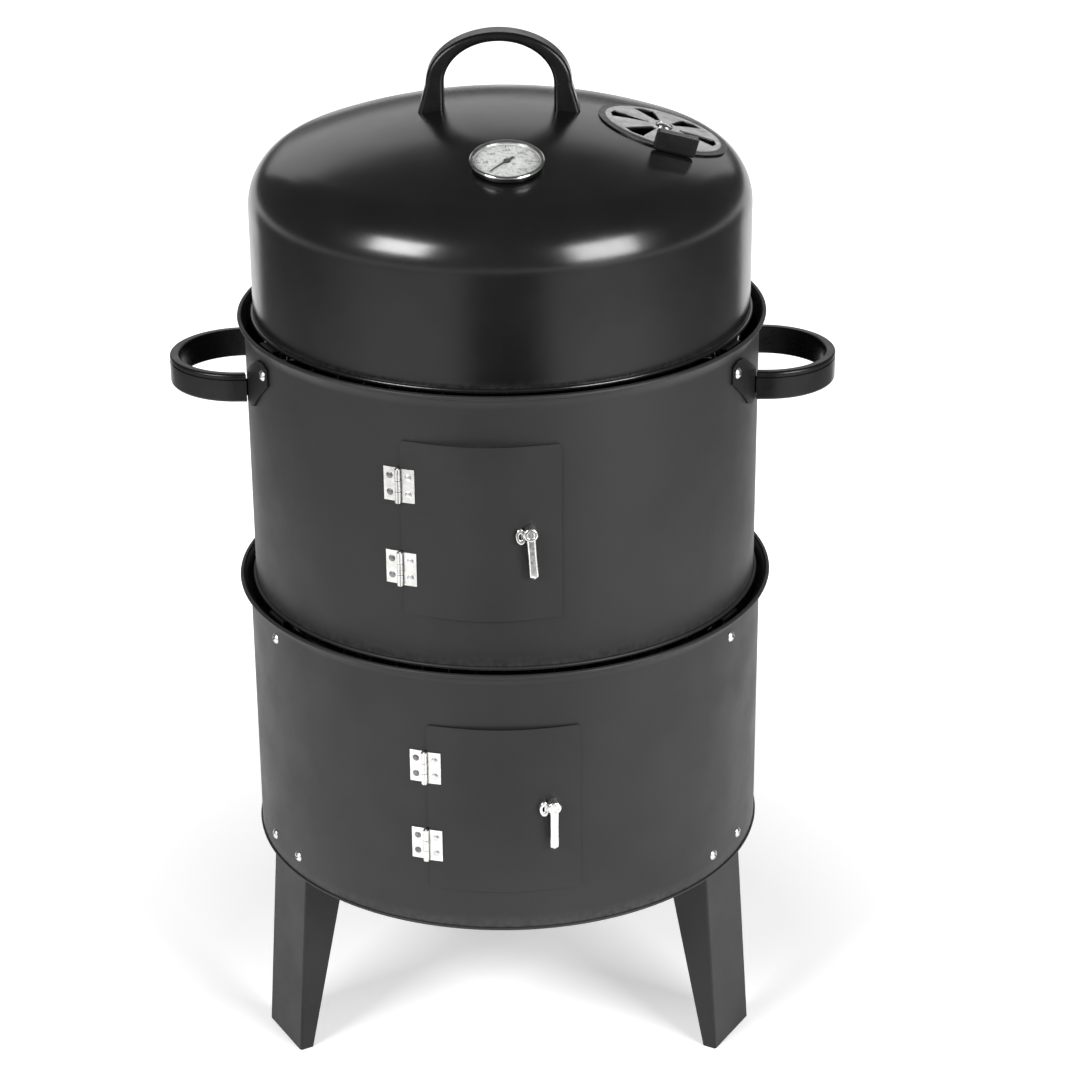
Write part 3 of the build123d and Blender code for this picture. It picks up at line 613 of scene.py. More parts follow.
# ---------------------------------------------------------------- lid
VENT = on_dome("damper_turn")
GAUGE = on_dome("needle_turn")
VENT_R = 50.0 * MM
VENT_SLOT = (12.0 * MM, 39.0 * MM, 2.1 * MM, 8.6 * MM)     # inner and outer reach, half widths there
VENT_SLOT_TIP = 2.2 * MM
VENT_TURN = -5.0
VENT_GRIP_Y = -52.8 * MM    # middle of the grip
VENT_TONGUE_Y = -51.3 * MM  # middle of the disc's tongue, which ends inside the grip
VENT_STEEL = plated("vent_steel", (0.4, 0.4, 0.4), (0.74, 0.74, 0.74), (0.3, 0.42), 0.1, EVEN, 200,
                    (VENT.translation, 44.5 * MM))
VENT_GRIP = VENT @ Matrix.Rotation(radians(9.0), 4, "Z")


def slot_outline(k):
    """One wedge-shaped slot of the vent, in the plane of the dome there."""
    near, far, near_w, far_w = VENT_SLOT
    wedge = [(near, -near_w), (far, -far_w), (far + VENT_SLOT_TIP, 0), (far, far_w), (near, near_w)]
    turn = Matrix.Rotation(radians(VENT_TURN + 60 * k), 2)
    return [tuple(turn @ Vector(p)) for p in wedge]


def round_outline(r, steps, centre=(0, 0)):
    return arc(centre, r, 0, 360, steps)[:-1]


def lid_profile():
    """Outside of the lid from the foot of its skirt to the top of its dome."""
    turn = degrees(atan2(LID_SHOULDER_Z - LID_CENTRE_Z, LID_ARC_X))
    skirt = [(LID_R, LID_FOOT + (LID_SHOULDER_Z - LID_FOOT) * i / 10) for i in range(10)]
    shoulder = arc((LID_ARC_X, LID_SHOULDER_Z), LID_SHOULDER_R, 0, turn, 22)
    dome = arc((0, LID_CENTRE_Z), LID_DOME_R, turn, 90, 44)
    return skirt + shoulder + dome[1:-1] + [(0, LID_CENTRE_Z + LID_DOME_R)]


def lid():
    body = to_object("lid_pressing", Form(lathe(lid_profile())))
    thicken(body, SHEET)
    applied(body)
    openings = Form()
    for k in range(6):
        openings.add(prism(slot_outline(k), -10 * MM, 10 * MM), VENT)
    openings.add(prism(round_outline(4.6 * MM, 24), -10 * MM, 10 * MM), GAUGE)
    cut(body, openings)
    add_closed(body, ring(LID_R + HEM_R - SHEET, LID_FOOT, HEM_R))
    smooth(body)
    place(body, "lid", "lid_paint", LID_PAINT, ["lid_shell"])


def damper():
    """Rotary damper that follows the dome: pressed ring, six slots and a tongue into the grip."""
    ball = LID_DOME_R + GAP + SHEET
    ridge_r, ridge_w, ridge_h = 43.2 * MM, 2.4 * MM, 0.6 * MM

    def bend(x, y):
        out = hypot(x, y)
        rise = ridge_h * (0.5 + 0.5 * cos(pi * min(1.0, abs(out - ridge_r) / ridge_w)))
        return (x, y, sqrt(ball**2 - out**2) - LID_DOME_R + rise)

    holes = [slot_outline(k) for k in range(6)]
    disc = to_object("damper_disc", Form(sheet_mesh(round_outline(VENT_R, 120), holes, 1.6 * MM, bend), VENT))
    thicken(disc, SHEET)
    soften(disc, 0.22 * MM)
    applied(disc)
    outline = [(x, VENT_TONGUE_Y + y) for x, y in rounded(12 * MM, 2.3 * MM, 0.4 * MM, 2)]
    add_closed(disc, prism(outline, -2.4 * MM, -1.4 * MM), place=VENT_GRIP)
    smooth(disc)
    place(disc, "damper", "stainless", VENT_STEEL, ["vent_damper"])


def damper_grip():
    """Moulded tab with a slightly waisted front, eased edges and shallow finger ribs."""
    width, height, depth, foot = 32 * MM, 15.5 * MM, 5 * MM, -2.4 * MM
    sections = []
    for i in range(25):
        z = foot + height * i / 24
        rib = 0.25 * MM * sin(pi * i / 24 * 9) ** 2
        half_d = depth / 2 - rib
        ends = min(1.0, 0.35 + min(i, 24 - i) / 3)
        outline = rounded(width / 2 - (1 - ends) * 1.6 * MM, half_d - (1 - ends) * 1.2 * MM, 1.2 * MM, 4)
        sections.append([(x, VENT_GRIP_Y + y, z) for x, y in outline])
    grip = Form(loft(sections), VENT_GRIP)
    closed_piece("damper_tab", grip, PHENOLIC, "damper", "phenolic", ["vent_damper_grip"], angle=50)


def damper_rivet():
    base = GAP + SHEET + GAP
    profile = mm((0, -2.6), (4.2, -2.6), (4.2, -1.0), (2.5, -1.0))
    profile += [(2.5 * MM, base), (6.3 * MM, base), (6.5 * MM, base + 0.5 * MM)]
    dome = arc((0, base - 9.1 * MM), 11.0 * MM, 54, 90, 8)
    head = [(x, z) for x, z in dome if x > 1e-6] + [(0, dome[-1][1])]
    rivet = Form(lathe(profile + head, 48), VENT)
    closed_piece("damper_rivet", rivet, STAINLESS, "lid", "stainless", ["vent_rivet"])


def handle_section(outer, inner, half_depth, corner):
    """Rounded section of the handle between an outer and an inner point of its side view."""
    outer, inner = Vector((outer[0], 0, outer[1])), Vector((inner[0], 0, inner[1]))
    middle, across = (outer + inner) / 2, (outer - inner) / 2
    half = across.length
    shape = rounded(half, half_depth, min(corner, 0.85 * half), 6)
    return [middle + across * (u / half) + Vector((0, v, 0)) for u, v in shape]


def lid_handle():
    """Moulded arch: slim on top, widening to the two feet that stand on the dome."""
    top_z = high("lid_handle").z
    spring_z = top_z - 39.5 * MM
    half_depth = (high("lid_handle").y - low("lid_handle").y) / 2
    inner_x, outer_x, foot_x, crown = 41.0 * MM, 54.5 * MM, 60.6 * MM, 7.0 * MM

    def up_from(x, t):
        return dome_z(x) + (spring_z - dome_z(x)) * t

    legs = []
    for i in range(9):
        t = (i / 8) ** 1.2
        legs.append(((foot_x + (outer_x - foot_x) * t, up_from(foot_x, t)), (inner_x, up_from(inner_x, t))))
    arch = []
    for i in range(1, 48):
        a = pi * i / 48
        arch.append(((outer_x * cos(a), spring_z + (top_z - spring_z) * sin(a)),
                     (inner_x * cos(a), spring_z + (top_z - crown - spring_z) * sin(a))))
    other = [((-o[0], o[1]), (-i[0], i[1])) for o, i in reversed(legs)]
    sections = [handle_section(o, i, half_depth, 3.4 * MM) for o, i in legs + arch + other]
    arch_form = Form(loft(sections))
    closed_piece("lid_handle_arch", arch_form, PHENOLIC, "lid", "phenolic", ["lid_handle"], angle=50)


# ---------------------------------------------------------------- thermometer
DIAL_TOP = 2.9 * MM
SCALE_START, SCALE_SWEEP = -45.0, 270.0     # degrees in the dial's plane, clockwise from lower left


def gauge_case():
    """Pressed cup with a rolled bezel."""
    outer = mm((3.05, 1.2), (24.2, 1.2), (25.4, 1.5), (25.9, 2.2), (26.0, 3.0))
    bezel = arc((25.5 * MM, 4.9 * MM), 1.5 * MM, -50, 150, 14)
    inner = mm((24.0, 5.6), (25.4, 5.5), (25.4, 2.2), (3.05, 2.2))
    case = Form(lathe(outer + bezel + inner, 120, closed=True), GAUGE)
    closed_piece("gauge_bezel", case, STAINLESS, "lid", "stainless", ["gauge_case"], angle=40)


def gauge_dial():
    outline = mm((0.96, 2.4), (25.3, 2.4)) + [(25.3 * MM, DIAL_TOP), (0.96 * MM, DIAL_TOP)]
    card = Form(lathe(outline, 120, closed=True), GAUGE)
    closed_piece("gauge_dial_card", card, DIAL, "lid", "dial_face", ["gauge_dial"])


def gauge_glass():
    """Slightly domed glass."""
    upper = arc((0, -206.0 * MM), 212.0 * MM, 90 - 6.8, 90, 10)
    profile = mm((0, 4.3), (25.1, 4.3)) + [(x, z) for x, z in upper if x > 1e-6] + mm((0, 6.0))
    pane = Form(lathe(profile, 96), GAUGE)
    window = closed_piece("gauge_window", pane, GLASS, "lid", "gauge_glass", ["gauge_glass"])
    window.visible_shadow = False


def dial_angle(part):
    """Direction on the dial at a part of the scale, from 0 to 1, in the dial's own plane."""
    return radians(SCALE_START - SCALE_SWEEP * part)


def gauge_markings():
    """Printed ticks, a ring and plain numbers, a little above the card."""
    top = DIAL_TOP + 0.06 * MM
    reach = 22.6 * MM
    ink = Form()
    for i in range(61):
        length = 3.6 * MM if i % 10 == 0 else 2.4 * MM if i % 5 == 0 else 1.5 * MM
        half_w = 0.25 * MM if i % 10 == 0 else 0.125 * MM
        tick = [(reach - length, -half_w), (reach, -half_w), (reach, half_w), (reach - length, half_w)]
        turn = Matrix.Rotation(dial_angle(i / 60), 4, "Z")
        ink.add(prism(tick, DIAL_TOP, top), GAUGE @ turn)
    inner, outer = 22.9 * MM, 23.3 * MM
    ink.add(lathe([(outer, DIAL_TOP), (outer, top), (inner, top), (inner, DIAL_TOP)], 96, closed=True), GAUGE)
    obj = to_object("gauge_markings", ink)
    outward(obj)
    numbers = [number(str(50 * i), dial_angle(i / 6), 15.2 * MM, DIAL_TOP) for i in range(7)]
    joined(obj, *numbers)
    place(obj, "lid", "dial_face", INK)


def number(text, angle, r, z):
    """Upright number on the dial, read from the front of the smoker."""
    curve = bpy.data.curves.new("number", "FONT")
    curve.body = text
    curve.size = 4.2 * MM
    curve.extrude = 0.03 * MM
    curve.resolution_u = 2
    curve.align_x = "CENTER"
    curve.align_y = "CENTER"
    letter = new_object("number", curve)
    bpy.context.view_layer.update()
    mesh = bpy.data.meshes.new_from_object(letter.evaluated_get(bpy.context.evaluated_depsgraph_get()))
    upright = Matrix.Rotation(pi / 2, 4, "Z")
    at = Matrix.Translation((r * cos(angle), r * sin(angle), z + 0.03 * MM))
    mesh.transform(GAUGE @ at @ upright)
    bpy.data.objects.remove(letter)
    return new_object("number", mesh)


def gauge_needle():
    """Tapered pointer with a short tail and a turned hub."""
    outline = mm((-7, -0.9), (-6, -1.2), (0, -0.75), (17.5, -0.18), (18.6, 0),
                 (17.5, 0.18), (0, 0.75), (-6, 1.2), (-7, 0.9))
    turn = GAUGE @ Matrix.Rotation(radians(SCALE_START), 4, "Z")
    arrow = Form(prism(outline, 3.35 * MM, 3.75 * MM), turn)
    hub = mm((0, 1.6), (0.9, 1.6), (0.9, 3.2), (2.6, 3.2), (2.6, 3.8), (2.2, 4.05), (0, 4.1))
    arrow.add(lathe(hub, 40), GAUGE)
    closed_piece("gauge_pointer", arrow, POINTER, "needle", "pointer", ["gauge_needle"])


# ---------------------------------------------------------------- drums
FLARE_H = 12.0 * MM         # height over which a drum's top flares out
DOOR_LAP = 6.0 * MM         # overlap of a door on the wall, top, bottom and latch side
HINGE_LAP = 1.2 * MM        # its overlap beside the hinges
DOOR_START = 1.4 * MM       # from the hinges' axis to the door's edge
SEAM_HALF = 1.2 * MM        # half width of the welded seam at the back
SEAM_RISE = 0.25 * MM


def door_edges(name):
    """Azimuths and heights of the edges of a door: (az0, az1, z0, z1)."""
    r = WALL_R[name]
    start = azimuth_of(joint_place(f"{name}_door_swing")) + degrees(DOOR_START / r)
    end = degrees(asin(high(f"{name}_door").x / (r + GAP + DOOR_T)))
    return start, end, low(f"{name}_door").z, high(f"{name}_door").z


def flare(r, rim_r, top):
    """Outside of a drum's flared top, tangent to its wall and ending in the rolled rim."""
    bead_r, bead_z = rim_r - BEAD_R, top - BEAD_R
    foot_z = top - FLARE_H
    run, rise = bead_r - (r - SHEET / 2), bead_z - foot_z
    middle = (run**2 + rise**2) / (2 * run)
    turn = degrees(asin(rise / middle))
    return arc((r + middle - SHEET / 2, foot_z), middle - SHEET / 2, 180, 180 - turn, 10)


def drum(name, body, hem_r):
    """Rolled sheet with an opening for its door, a flared top, a rolled rim and a rolled foot."""
    node = f"{name}_drum"
    r = WALL_R[name]
    z0, z1, rim_r = low(node).z, high(node).z, high(node).x
    az0, az1, door_z0, door_z1 = door_edges(name)
    open_az = (az0 + degrees(HINGE_LAP / r), az1 - degrees(DOOR_LAP / r))
    open_z = (door_z0 + DOOR_LAP, door_z1 - DOOR_LAP)
    seam = degrees(SEAM_HALF / r)
    fixed = [open_az[0] % 360, open_az[1] % 360, 180 - seam, 180 - seam / 3, 180 + seam / 3, 180 + seam]
    step = 360 / AROUND

    def is_clear(azimuth):
        return all(abs((azimuth - other + 180) % 360 - 180) > step / 3 for other in fixed)

    azimuths = sorted(fixed + [step * i for i in range(AROUND) if is_clear(step * i)])
    foot = z0 + hem_r
    heights = sorted([foot + (z1 - FLARE_H - foot) * i / 16 for i in range(16)] + list(open_z))
    profile = [(r, z) for z in heights] + flare(r, rim_r, z1)

    def in_opening(i, j):
        if i + 1 >= len(heights):
            return False
        z = (heights[i] + heights[i + 1]) / 2
        a, b = azimuths[j], azimuths[(j + 1) % len(azimuths)]
        middle = (a + ((b - a) % 360) / 2 + 180) % 360 - 180
        return open_z[0] < z < open_z[1] and open_az[0] < middle < open_az[1]

    verts, faces = lathe(profile, azimuths=azimuths, skip=in_opening)
    raised = []
    for x, y, z in verts:
        off = abs(abs(degrees(atan2(x, -y))) - 180)
        swell = 1 + SEAM_RISE / r if off < seam / 2 and z < z1 - FLARE_H else 1
        raised.append((x * swell, y * swell, z))
    wall = to_object(f"{name}_drum_wall", Form((raised, faces)))
    thicken(wall, SHEET)
    applied(wall)
    add_closed(wall, ring(rim_r - BEAD_R, z1 - BEAD_R, BEAD_R), ring(r + hem_r - SHEET, foot, hem_r))
    smooth(wall)
    place(wall, body, "drum_paint", DRUM_PAINT, [node])


DOOR_BULGE = {"upper": 3.2 * MM, "lower": 1.4 * MM}


def door(name):
    """Curved panel a little rounder than its drum, with small round corners."""
    az0, az1, z0, z1 = door_edges(name)
    r = WALL_R[name]
    face_r = r + GAP + DOOR_T
    half_w, half_h = radians(az1 - az0) * r / 2, (z1 - z0) / 2
    middle_az, middle_z = (az0 + az1) / 2, (z0 + z1) / 2
    rise = DOOR_BULGE[name]

    def bend(x, y):
        across = sin(pi * (x + half_w) / (2 * half_w)) ** 2
        a = radians(middle_az) + x / r
        out = face_r + rise * across
        return (out * sin(a), -out * cos(a), middle_z + y)

    plate = sheet_mesh(rounded(half_w, half_h, 3 * MM, 5), [], 5 * MM, bend)
    panel = to_object(f"{name}_door_panel", Form(plate))
    face_toward(panel, Vector((0, -1, 0)))
    thicken(panel, DOOR_T)
    soften(panel, 0.25 * MM)
    applied(panel)
    smooth(panel)
    place(panel, f"door_{name}", "drum_paint", DRUM_PAINT, [f"{name}_door"])


LATCH_LEAN = {"upper": 4.0, "lower": 0.0}  # degrees that a hanging lever leans to the right
LATCH_SEAT = 1.6 * MM       # from the wall to the underside of the latch
LATCH_EAR = (-7.0 * MM, -2.1 * MM)
LATCH_EAR_R = (3.7 * MM, 6.2 * MM)


def latch(name):
    """Cast turn handle: spindle, round boss with a recess, screw ear and a tapered lever."""
    at = joint_place(f"{name}_latch_turn")
    spindle = radial(azimuth_of(at), WALL_R[name], at.z) @ Matrix.Rotation(radians(LATCH_LEAN[name]), 4, "Z")
    seat = spindle @ Matrix.Translation((0, 0, LATCH_SEAT))
    form = Form()
    boss = mm((0, -7.6), (2.5, -7.6), (2.5, 0), (5.2, 0), (5.2, 7.6))
    boss += arc((4.0 * MM, 7.8 * MM), 1.2 * MM, 0, 90, 5)
    boss += mm((3.0, 9.0), (2.6, 8.6), (2.3, 6.6), (0, 6.6))
    form.add(lathe(boss, 40), seat)
    ear = [(0, 0), (LATCH_EAR_R[0], 0), (LATCH_EAR_R[0], 4.2 * MM)]
    ear += arc((2.9 * MM, 4.2 * MM), 0.8 * MM, 0, 90, 4)
    ear += mm((2.0, 5.0), (1.5, 4.6), (1.3, 1.6), (0, 1.6))
    oval = Matrix.Diagonal((1, LATCH_EAR_R[1] / LATCH_EAR_R[0], 1, 1))
    form.add(lathe(ear, 40), seat @ Matrix.Translation((*LATCH_EAR, 0)) @ oval)
    form.add(prism(mm((-7.0, 1.5), (-7.0, -6.2), (0, -4.6), (0, 4.6)), 0, 4.2 * MM), seat)
    form.add(loft([lever_section(i / 16) for i in range(17)]), seat)
    closed_piece(f"{name}_latch_casting", form, CAST_NICKEL, f"latch_{name}", "nickel",
                 [f"{name}_latch_handle"], ease=0.25 * MM, angle=45)


def lever_section(t):
    """Section of a latch's lever at a part of its length, from 0 at the boss to 1 at the round end."""
    y = (2.5 - 38.3 * t) * MM
    end = min(1.0, sqrt(max(0.0, 1 - max(0.0, (t - 0.86) / 0.14) ** 2)) + 0.12)
    half_w = (3.4 - 0.3 * sin(pi * t)) * end * MM
    half_h = (2.3 - 0.3 * t) * end * MM
    corner = 0.45 * min(half_w, half_h) + 0.5 * MM * end
    middle = (6.6 - 0.6 * t) * MM
    return [(u, y, middle + v) for u, v in rounded(half_w, half_h, corner, 4)]


# ---------------------------------------------------------------- side handles
GRIP_CENTRE_X = 202.0 * MM
GRIP_R = 55.2 * MM
GRIP_W = 7.5 * MM
GRIP_BACK_R = 200.7 * MM    # the round face that meets the drum


def grip_section():
    """Section of a side grip: x outward from its middle, y up, with a groove near the outer top edge."""
    half_w, half_h = GRIP_W / 2, (high("side_handle_grip_right").z - low("side_handle_grip_right").z) / 2
    corner = 2.0 * MM
    groove_y, groove_d, groove_h = half_h - 4.2 * MM, 1.0 * MM, 0.8 * MM
    right = [(half_w, -half_h + corner), (half_w, groove_y - groove_h),
             (half_w - groove_d, groove_y - groove_h / 2), (half_w - groove_d, groove_y + groove_h / 2),
             (half_w, groove_y + groove_h)]
    points = arc((half_w - corner, -half_h + corner), corner, -90, 0, 5)[:-1] + right
    points += arc((half_w - corner, half_h - corner), corner, 0, 90, 5)
    points += arc((-half_w + corner, half_h - corner), corner, 90, 180, 5)
    points += arc((-half_w + corner, -half_h + corner), corner, 180, 270, 5)
    return points


def side_grip(side):
    """Moulded half ring swept around, with ends that follow the drum."""
    name = "right" if side > 0 else "left"
    node = f"side_handle_grip_{name}"
    middle_z = (high(node).z + low(node).z) / 2
    middle_r = GRIP_R - GRIP_W / 2
    section = grip_section()

    def end_section(y_side):
        points = []
        for u, v in section:
            y = y_side * (middle_r + u)
            points.append((sqrt(GRIP_BACK_R**2 - y**2), y, middle_z + v))
        return points

    sections = [end_section(-1)]
    for i in range(49):
        a = radians(-90 + 180 * i / 48)
        sections.append([(GRIP_CENTRE_X + (middle_r + u) * cos(a), (middle_r + u) * sin(a), middle_z + v)
                         for u, v in section])
    sections.append(end_section(1))
    mirror = Matrix.Diagonal((side, 1, 1, 1))
    form = Form(loft(sections), mirror)
    closed_piece(f"side_grip_{name}", form, PHENOLIC, "upper_body", "phenolic", [node], angle=28)


# ---------------------------------------------------------------- fasteners
BOLT_R = 2.0 * MM
BOLT_HEAD_R = 4.2 * MM
BOLT_HEAD_H = 2.2 * MM


def cross_bolt(reach):
    """Domed bolt along z with a cross recess, its head above z = 0."""
    ball = (BOLT_HEAD_R**2 + BOLT_HEAD_H**2) / (2 * BOLT_HEAD_H)
    tilt = degrees(asin(BOLT_HEAD_R / ball))
    head = arc((0, BOLT_HEAD_H - ball), ball, 90 - tilt, 90, 8)
    profile = [(0, -reach), (1.8 * MM, -reach), (BOLT_R, -reach + 0.3 * MM), (BOLT_R, 0)]
    profile.append((BOLT_HEAD_R - 0.2 * MM, 0))
    profile += [(x, z) for x, z in head if x > 1e-6] + [(0, BOLT_HEAD_H)]
    blank = to_object("bolt", Form(lathe(profile, 32)))
    outward(blank)
    recess = Form()
    slot = prism(rounded(2.1 * MM, 0.42 * MM, 0.1 * MM, 1), 0.9 * MM, 4 * MM)
    for turn in (0, 90):
        recess.add(slot, Matrix.Rotation(radians(turn), 4, "Z"))
    cut(blank, recess)
    shape = ([tuple(v.co) for v in blank.data.vertices], [list(p.vertices) for p in blank.data.polygons])
    bpy.data.objects.remove(blank)
    return shape


def bolt_group(name, node, body, wall_r, reach):
    """All bolts of one node, their heads on a wall of that outside radius."""
    shape = cross_bolt(reach)
    form = Form()
    for i, centre in enumerate(islands(node)):
        turn = Matrix.Rotation(radians(25 + 37 * i), 4, "Z")
        form.add(shape, radial(azimuth_of(centre), wall_r, centre.z) @ turn)
    obj = to_object(name, form)
    smooth(obj)
    place(obj, body, "zinc", ZINC, [node])


# ---------------------------------------------------------------- bowls
BOWL_MOUTH_R = 150.0 * MM


def bowl(name, node, body, floor_r):
    """Enamelled pan: rolled flange edge, rounded wall and a flat floor."""
    top, bottom = high(node).z, low(node).z
    flange_r = high(node).x
    mouth = (BOWL_MOUTH_R, top)
    floor = (floor_r, bottom + SHEET)
    depth = top - bottom - SHEET
    bulge = (BOWL_MOUTH_R - 0.18 * (BOWL_MOUTH_R - floor_r), top - SHEET - 0.62 * depth)
    wall = curve_through(floor, bulge, mouth, 22)
    profile = [(0, bottom + SHEET)] + [(floor_r * i / 8, bottom + SHEET) for i in range(1, 8)]
    profile += wall + [(flange_r - 1.2 * MM, top)]
    shell = to_object(name, Form(lathe(profile, 192)))
    outward(shell)
    face_toward(shell, UP)
    thicken(shell, SHEET)
    applied(shell)
    add_closed(shell, ring(flange_r - 1.2 * MM, top - SHEET / 2 - 0.1 * MM, 0.6 * MM + SHEET / 4, 192, 10))
    smooth(shell, 40)
    place(shell, body, "bowl_enamel", BOWL_ENAMEL, [node])


def curve_through(a, b, c, steps):
    """Arc from a to c through b."""
    (ax, ay), (bx, by), (cx, cy) = a, b, c
    d = 2 * (ax * (by - cy) + bx * (cy - ay) + cx * (ay - by))
    ux = ((ax**2 + ay**2) * (by - cy) + (bx**2 + by**2) * (cy - ay) + (cx**2 + cy**2) * (ay - by)) / d
    uy = ((ax**2 + ay**2) * (cx - bx) + (bx**2 + by**2) * (ax - cx) + (cx**2 + cy**2) * (bx - ax)) / d
    start, end = degrees(atan2(ay - uy, ax - ux)), degrees(atan2(cy - uy, cx - ux))
    return arc((ux, uy), hypot(ax - ux, ay - uy), start, end, steps)


# ---------------------------------------------------------------- CAD pieces that stay
def keep(node, material, ease=0.0):
    """A CAD node keeps its shape and gets its finish, with eased edges if asked."""
    obj = frame["nodes"][node]
    obj.data.materials.clear()
    obj.data.materials.append(material)
    if ease:
        soften(obj, ease, 2, 40)
        even_shading(obj)


def kept_pieces():
    for name in ("upper", "lower"):
        keep(f"{name}_hinge_drum_leaves", NICKEL, 0.12 * MM)
        keep(f"{name}_hinge_door_leaves", NICKEL, 0.12 * MM)
        keep(f"{name}_hinge_pins", NICKEL, 0.2 * MM)
        # Darker rivets: painted shade of their recesses.
        keep(f"{name}_hinge_drum_rivets", RECESS_SHADED_ZINC)
        keep(f"{name}_hinge_door_rivets", ZINC)
        keep(f"{name}_latch_tongue", ZINC, 0.15 * MM)
        keep(f"{name}_grate_supports", FRAME_PAINT, 0.2 * MM)
        keep(f"{name}_cooking_grate", WIRE)
    keep("charcoal_grate", WIRE)
    for node in ("lower_support_nuts", "leg_nuts", "side_handle_nuts", "rear_support_nut",
                 "lid_handle_screws", "lid_handle_washers", "gauge_nut"):
        keep(node, ZINC, 0.15 * MM)
    keep("gauge_stem", STAINLESS)
    for node in ("leg_front_left", "leg_front_right", "leg_rear"):
        keep(node, FRAME_PAINT, 0.35 * MM)
    for side in ("left", "right"):
        keep(f"side_handle_brackets_{side}", BRACKET_PAINT, 0.3 * MM)


# ---------------------------------------------------------------- floor, light and camera
CAMERA_PLACE = (0.04435, -2.1173, 1.3183)
CAMERA_PITCH = 23.6134      # degrees below the horizon
CAMERA_YAW = 0.7559
CAMERA_ROLL = -0.4410
CAMERA_TURN = 1.2           # the object stands turned a little towards its left
CAMERA_LENS = 96.87

FLOOR_GLOW = 0.38           # light that the floor adds under the object; far away it is 1
FLOOR_FADE = (0.25, 0.8)    # distances between which it gets there

# Dark sheet on the floor, unseen by the camera: painted shade in the reflections of the drums and the lid.
SHADE_SHEET_REACH = (0.45, 5.0)
SHADE_SHEET_END = 138.0          # azimuth at which the dark sheet of painted shade ends on each side
SHADE_SHEET_MIDDLE = 3.0         # azimuth of its densest part
SHADE_SHEET_CORE = (11.0, 34.0)  # full density up to the first angle from there, none from the second
SHADE_SHEET_CORE_FADE = (0.6, 1.15)
SHADE_SHEET_SIDES = (0.62, 0.9)  # density at 60 and at 95 degrees from the middle
SHADE_SHEET_FADE = (0.8, 1.9)    # distances between which the sides thicken

# name, azimuth, elevation, distance, width, height and power of each light
SOFTBOXES = (("front_left", -45, 23, 2.6, 1.1, 0.9, 58),
             ("front_right", 47, 16, 2.6, 1.3, 1.15, 72),
             ("back", 180, 22, 3.4, 4.6, 1.6, 20))
SKY = 0.1


def distance_from_axis(s):
    return s.node("ShaderNodeVectorMath", {0: s.coords}, operation="LENGTH").outputs["Value"]


def floor():
    """Pale studio floor that glows a little, as a well-lit white sweep does."""
    obj = to_object("studio_floor", Form(lathe([(12.0, 0.0), (0, 0.0)], 96)))
    face_toward(obj, UP)
    s = Shader("studio_floor")
    s.set(Base_Color=s.mixed(s.noise(3, 3), (0.86, 0.86, 0.86), (0.9, 0.9, 0.9)))
    s.set(Emission_Strength=s.ranged(distance_from_axis(s), *FLOOR_FADE, FLOOR_GLOW, 1.0))
    s.set(Roughness=0.7, Emission_Color=(1.0, 1.0, 1.0, 1.0))
    obj.data.materials.append(s.material)


def painted_shade_sheet():
    """Dark sheet on the floor in front and beside the object, out of the picture, thinning out towards it:
    painted shade that keeps the drums and the lid deep black, standing in for the dark part of a studio."""
    azimuths = [SHADE_SHEET_END * (i / 30 - 1) for i in range(61)]
    strip = lathe([(r, 0.002) for r in SHADE_SHEET_REACH], azimuths=azimuths, skip=lambda i, j: j == 60)
    shade_sheet = to_object("painted_shade_sheet", Form(strip))
    s = Shader("painted_shade_sheet")
    s.set(Base_Color=s.mixed(s.noise(8, 3), (0.004, 0.004, 0.004), (0.008, 0.008, 0.008)))
    s.set(Roughness=0.9, Specular_IOR_Level=0.1)
    away = distance_from_axis(s)
    at = s.node("ShaderNodeSeparateXYZ", {0: s.coords}).outputs
    azimuth = s.math("ARCTAN2", at["X"], s.math("MULTIPLY", at["Y"], -1.0))
    off = s.math("ABSOLUTE", s.math("SUBTRACT", azimuth, radians(SHADE_SHEET_MIDDLE)), 0.0)
    core = s.math("MULTIPLY", s.ranged(off, *map(radians, SHADE_SHEET_CORE), 1.0, 0.0),
                  s.ranged(away, *SHADE_SHEET_CORE_FADE, 0.0, 1.0))
    side = s.math("MULTIPLY", s.ranged(off, radians(60), radians(95), *SHADE_SHEET_SIDES),
                  s.ranged(away, *SHADE_SHEET_FADE, 0.0, 1.0))
    s.set(Alpha=s.math("MAXIMUM", core, side))
    shade_sheet.data.materials.append(s.material)
    shade_sheet.visible_camera = False


def softbox(name, azimuth, elevation, distance, width, height, power, target):
    """Area light on a sphere about a target, facing it."""
    data = bpy.data.lights.new(name, "AREA")
    data.shape = "RECTANGLE"
    data.size = width
    data.size_y = height
    data.energy = power
    lamp = new_object(name, data)
    a, e = radians(azimuth), radians(elevation)
    away = Vector((sin(a) * cos(e), -cos(a) * cos(e), sin(e)))
    lamp.location = target + away * distance
    lamp.rotation_euler = away.to_track_quat("Z", "Y").to_euler()
    lamp.visible_camera = False


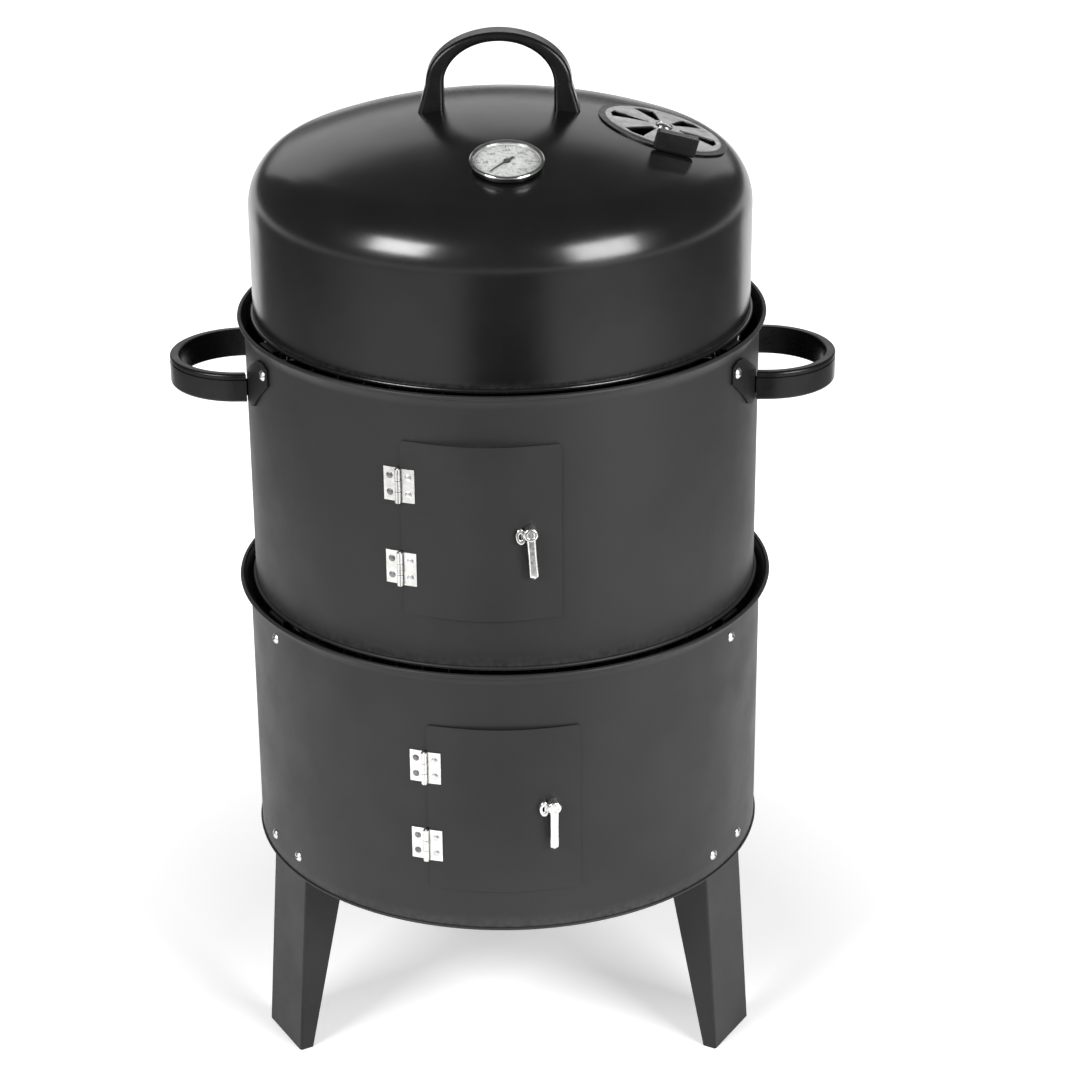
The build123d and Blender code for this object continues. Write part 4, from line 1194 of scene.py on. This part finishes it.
def studio():
    floor()
    painted_shade_sheet()
    shoulder = Vector((0, 0, LID_SHOULDER_Z))
    for values in SOFTBOXES:
        softbox(*values, shoulder)
    world = bpy.data.worlds.new("studio")
    world.use_nodes = True
    sky = world.node_tree.nodes["Background"].inputs
    sky["Color"].default_value = (1, 1, 1, 1)
    sky["Strength"].default_value = SKY
    bpy.context.scene.world = world
    bpy.context.scene.view_settings.view_transform = "Standard"


def camera():
    pitch, yaw, roll = radians(CAMERA_PITCH), radians(CAMERA_YAW), radians(CAMERA_ROLL)
    ahead = Vector((sin(yaw) * cos(pitch), cos(yaw) * cos(pitch), -sin(pitch)))
    side = Vector((cos(yaw), -sin(yaw), 0))
    upward = side.cross(ahead)
    right = side * cos(roll) + upward * sin(roll)
    top = upward * cos(roll) - side * sin(roll)
    turn = Matrix.Rotation(radians(CAMERA_TURN), 3, "Z")
    axes = turn @ Matrix((right, top, -ahead)).transposed()
    data = bpy.data.cameras.new("camera")
    data.lens = CAMERA_LENS
    data.sensor_width = 36.0
    data.clip_end = 50.0
    obj = new_object("camera", data)
    obj.matrix_world = Matrix.Translation(CAMERA_PLACE) @ axes.to_4x4()
    bpy.context.scene.camera = obj


# ---------------------------------------------------------------- assembly
def build():
    lid()
    damper()
    damper_grip()
    damper_rivet()
    lid_handle()
    gauge_case()
    gauge_dial()
    gauge_markings()
    gauge_glass()
    gauge_needle()
    drum("upper", "upper_body", HEM_R)
    drum("lower", "base", 1.2 * MM)
    for name in ("upper", "lower"):
        door(name)
        latch(name)
    side_grip(-1)
    side_grip(1)
    bolt_group("leg_cross_bolts", "leg_bolts", "base", WALL_R["lower"], 10 * MM)
    bolt_group("support_cross_bolts", "lower_support_bolts", "base", WALL_R["lower"], 7.5 * MM)
    bolt_group("handle_cross_bolts", "side_handle_bolts", "upper_body", WALL_R["upper"] + 2 * MM, 9.5 * MM)
    bolt_group("rear_cross_bolt", "rear_support_bolt", "upper_body", WALL_R["upper"], 7.5 * MM)
    bowl("water_pan", "water_bowl", "water_pan", 105 * MM)
    bowl("charcoal_pan", "charcoal_bowl", "charcoal_pan", 110 * MM)
    kept_pieces()
    camera()
    studio()


build()
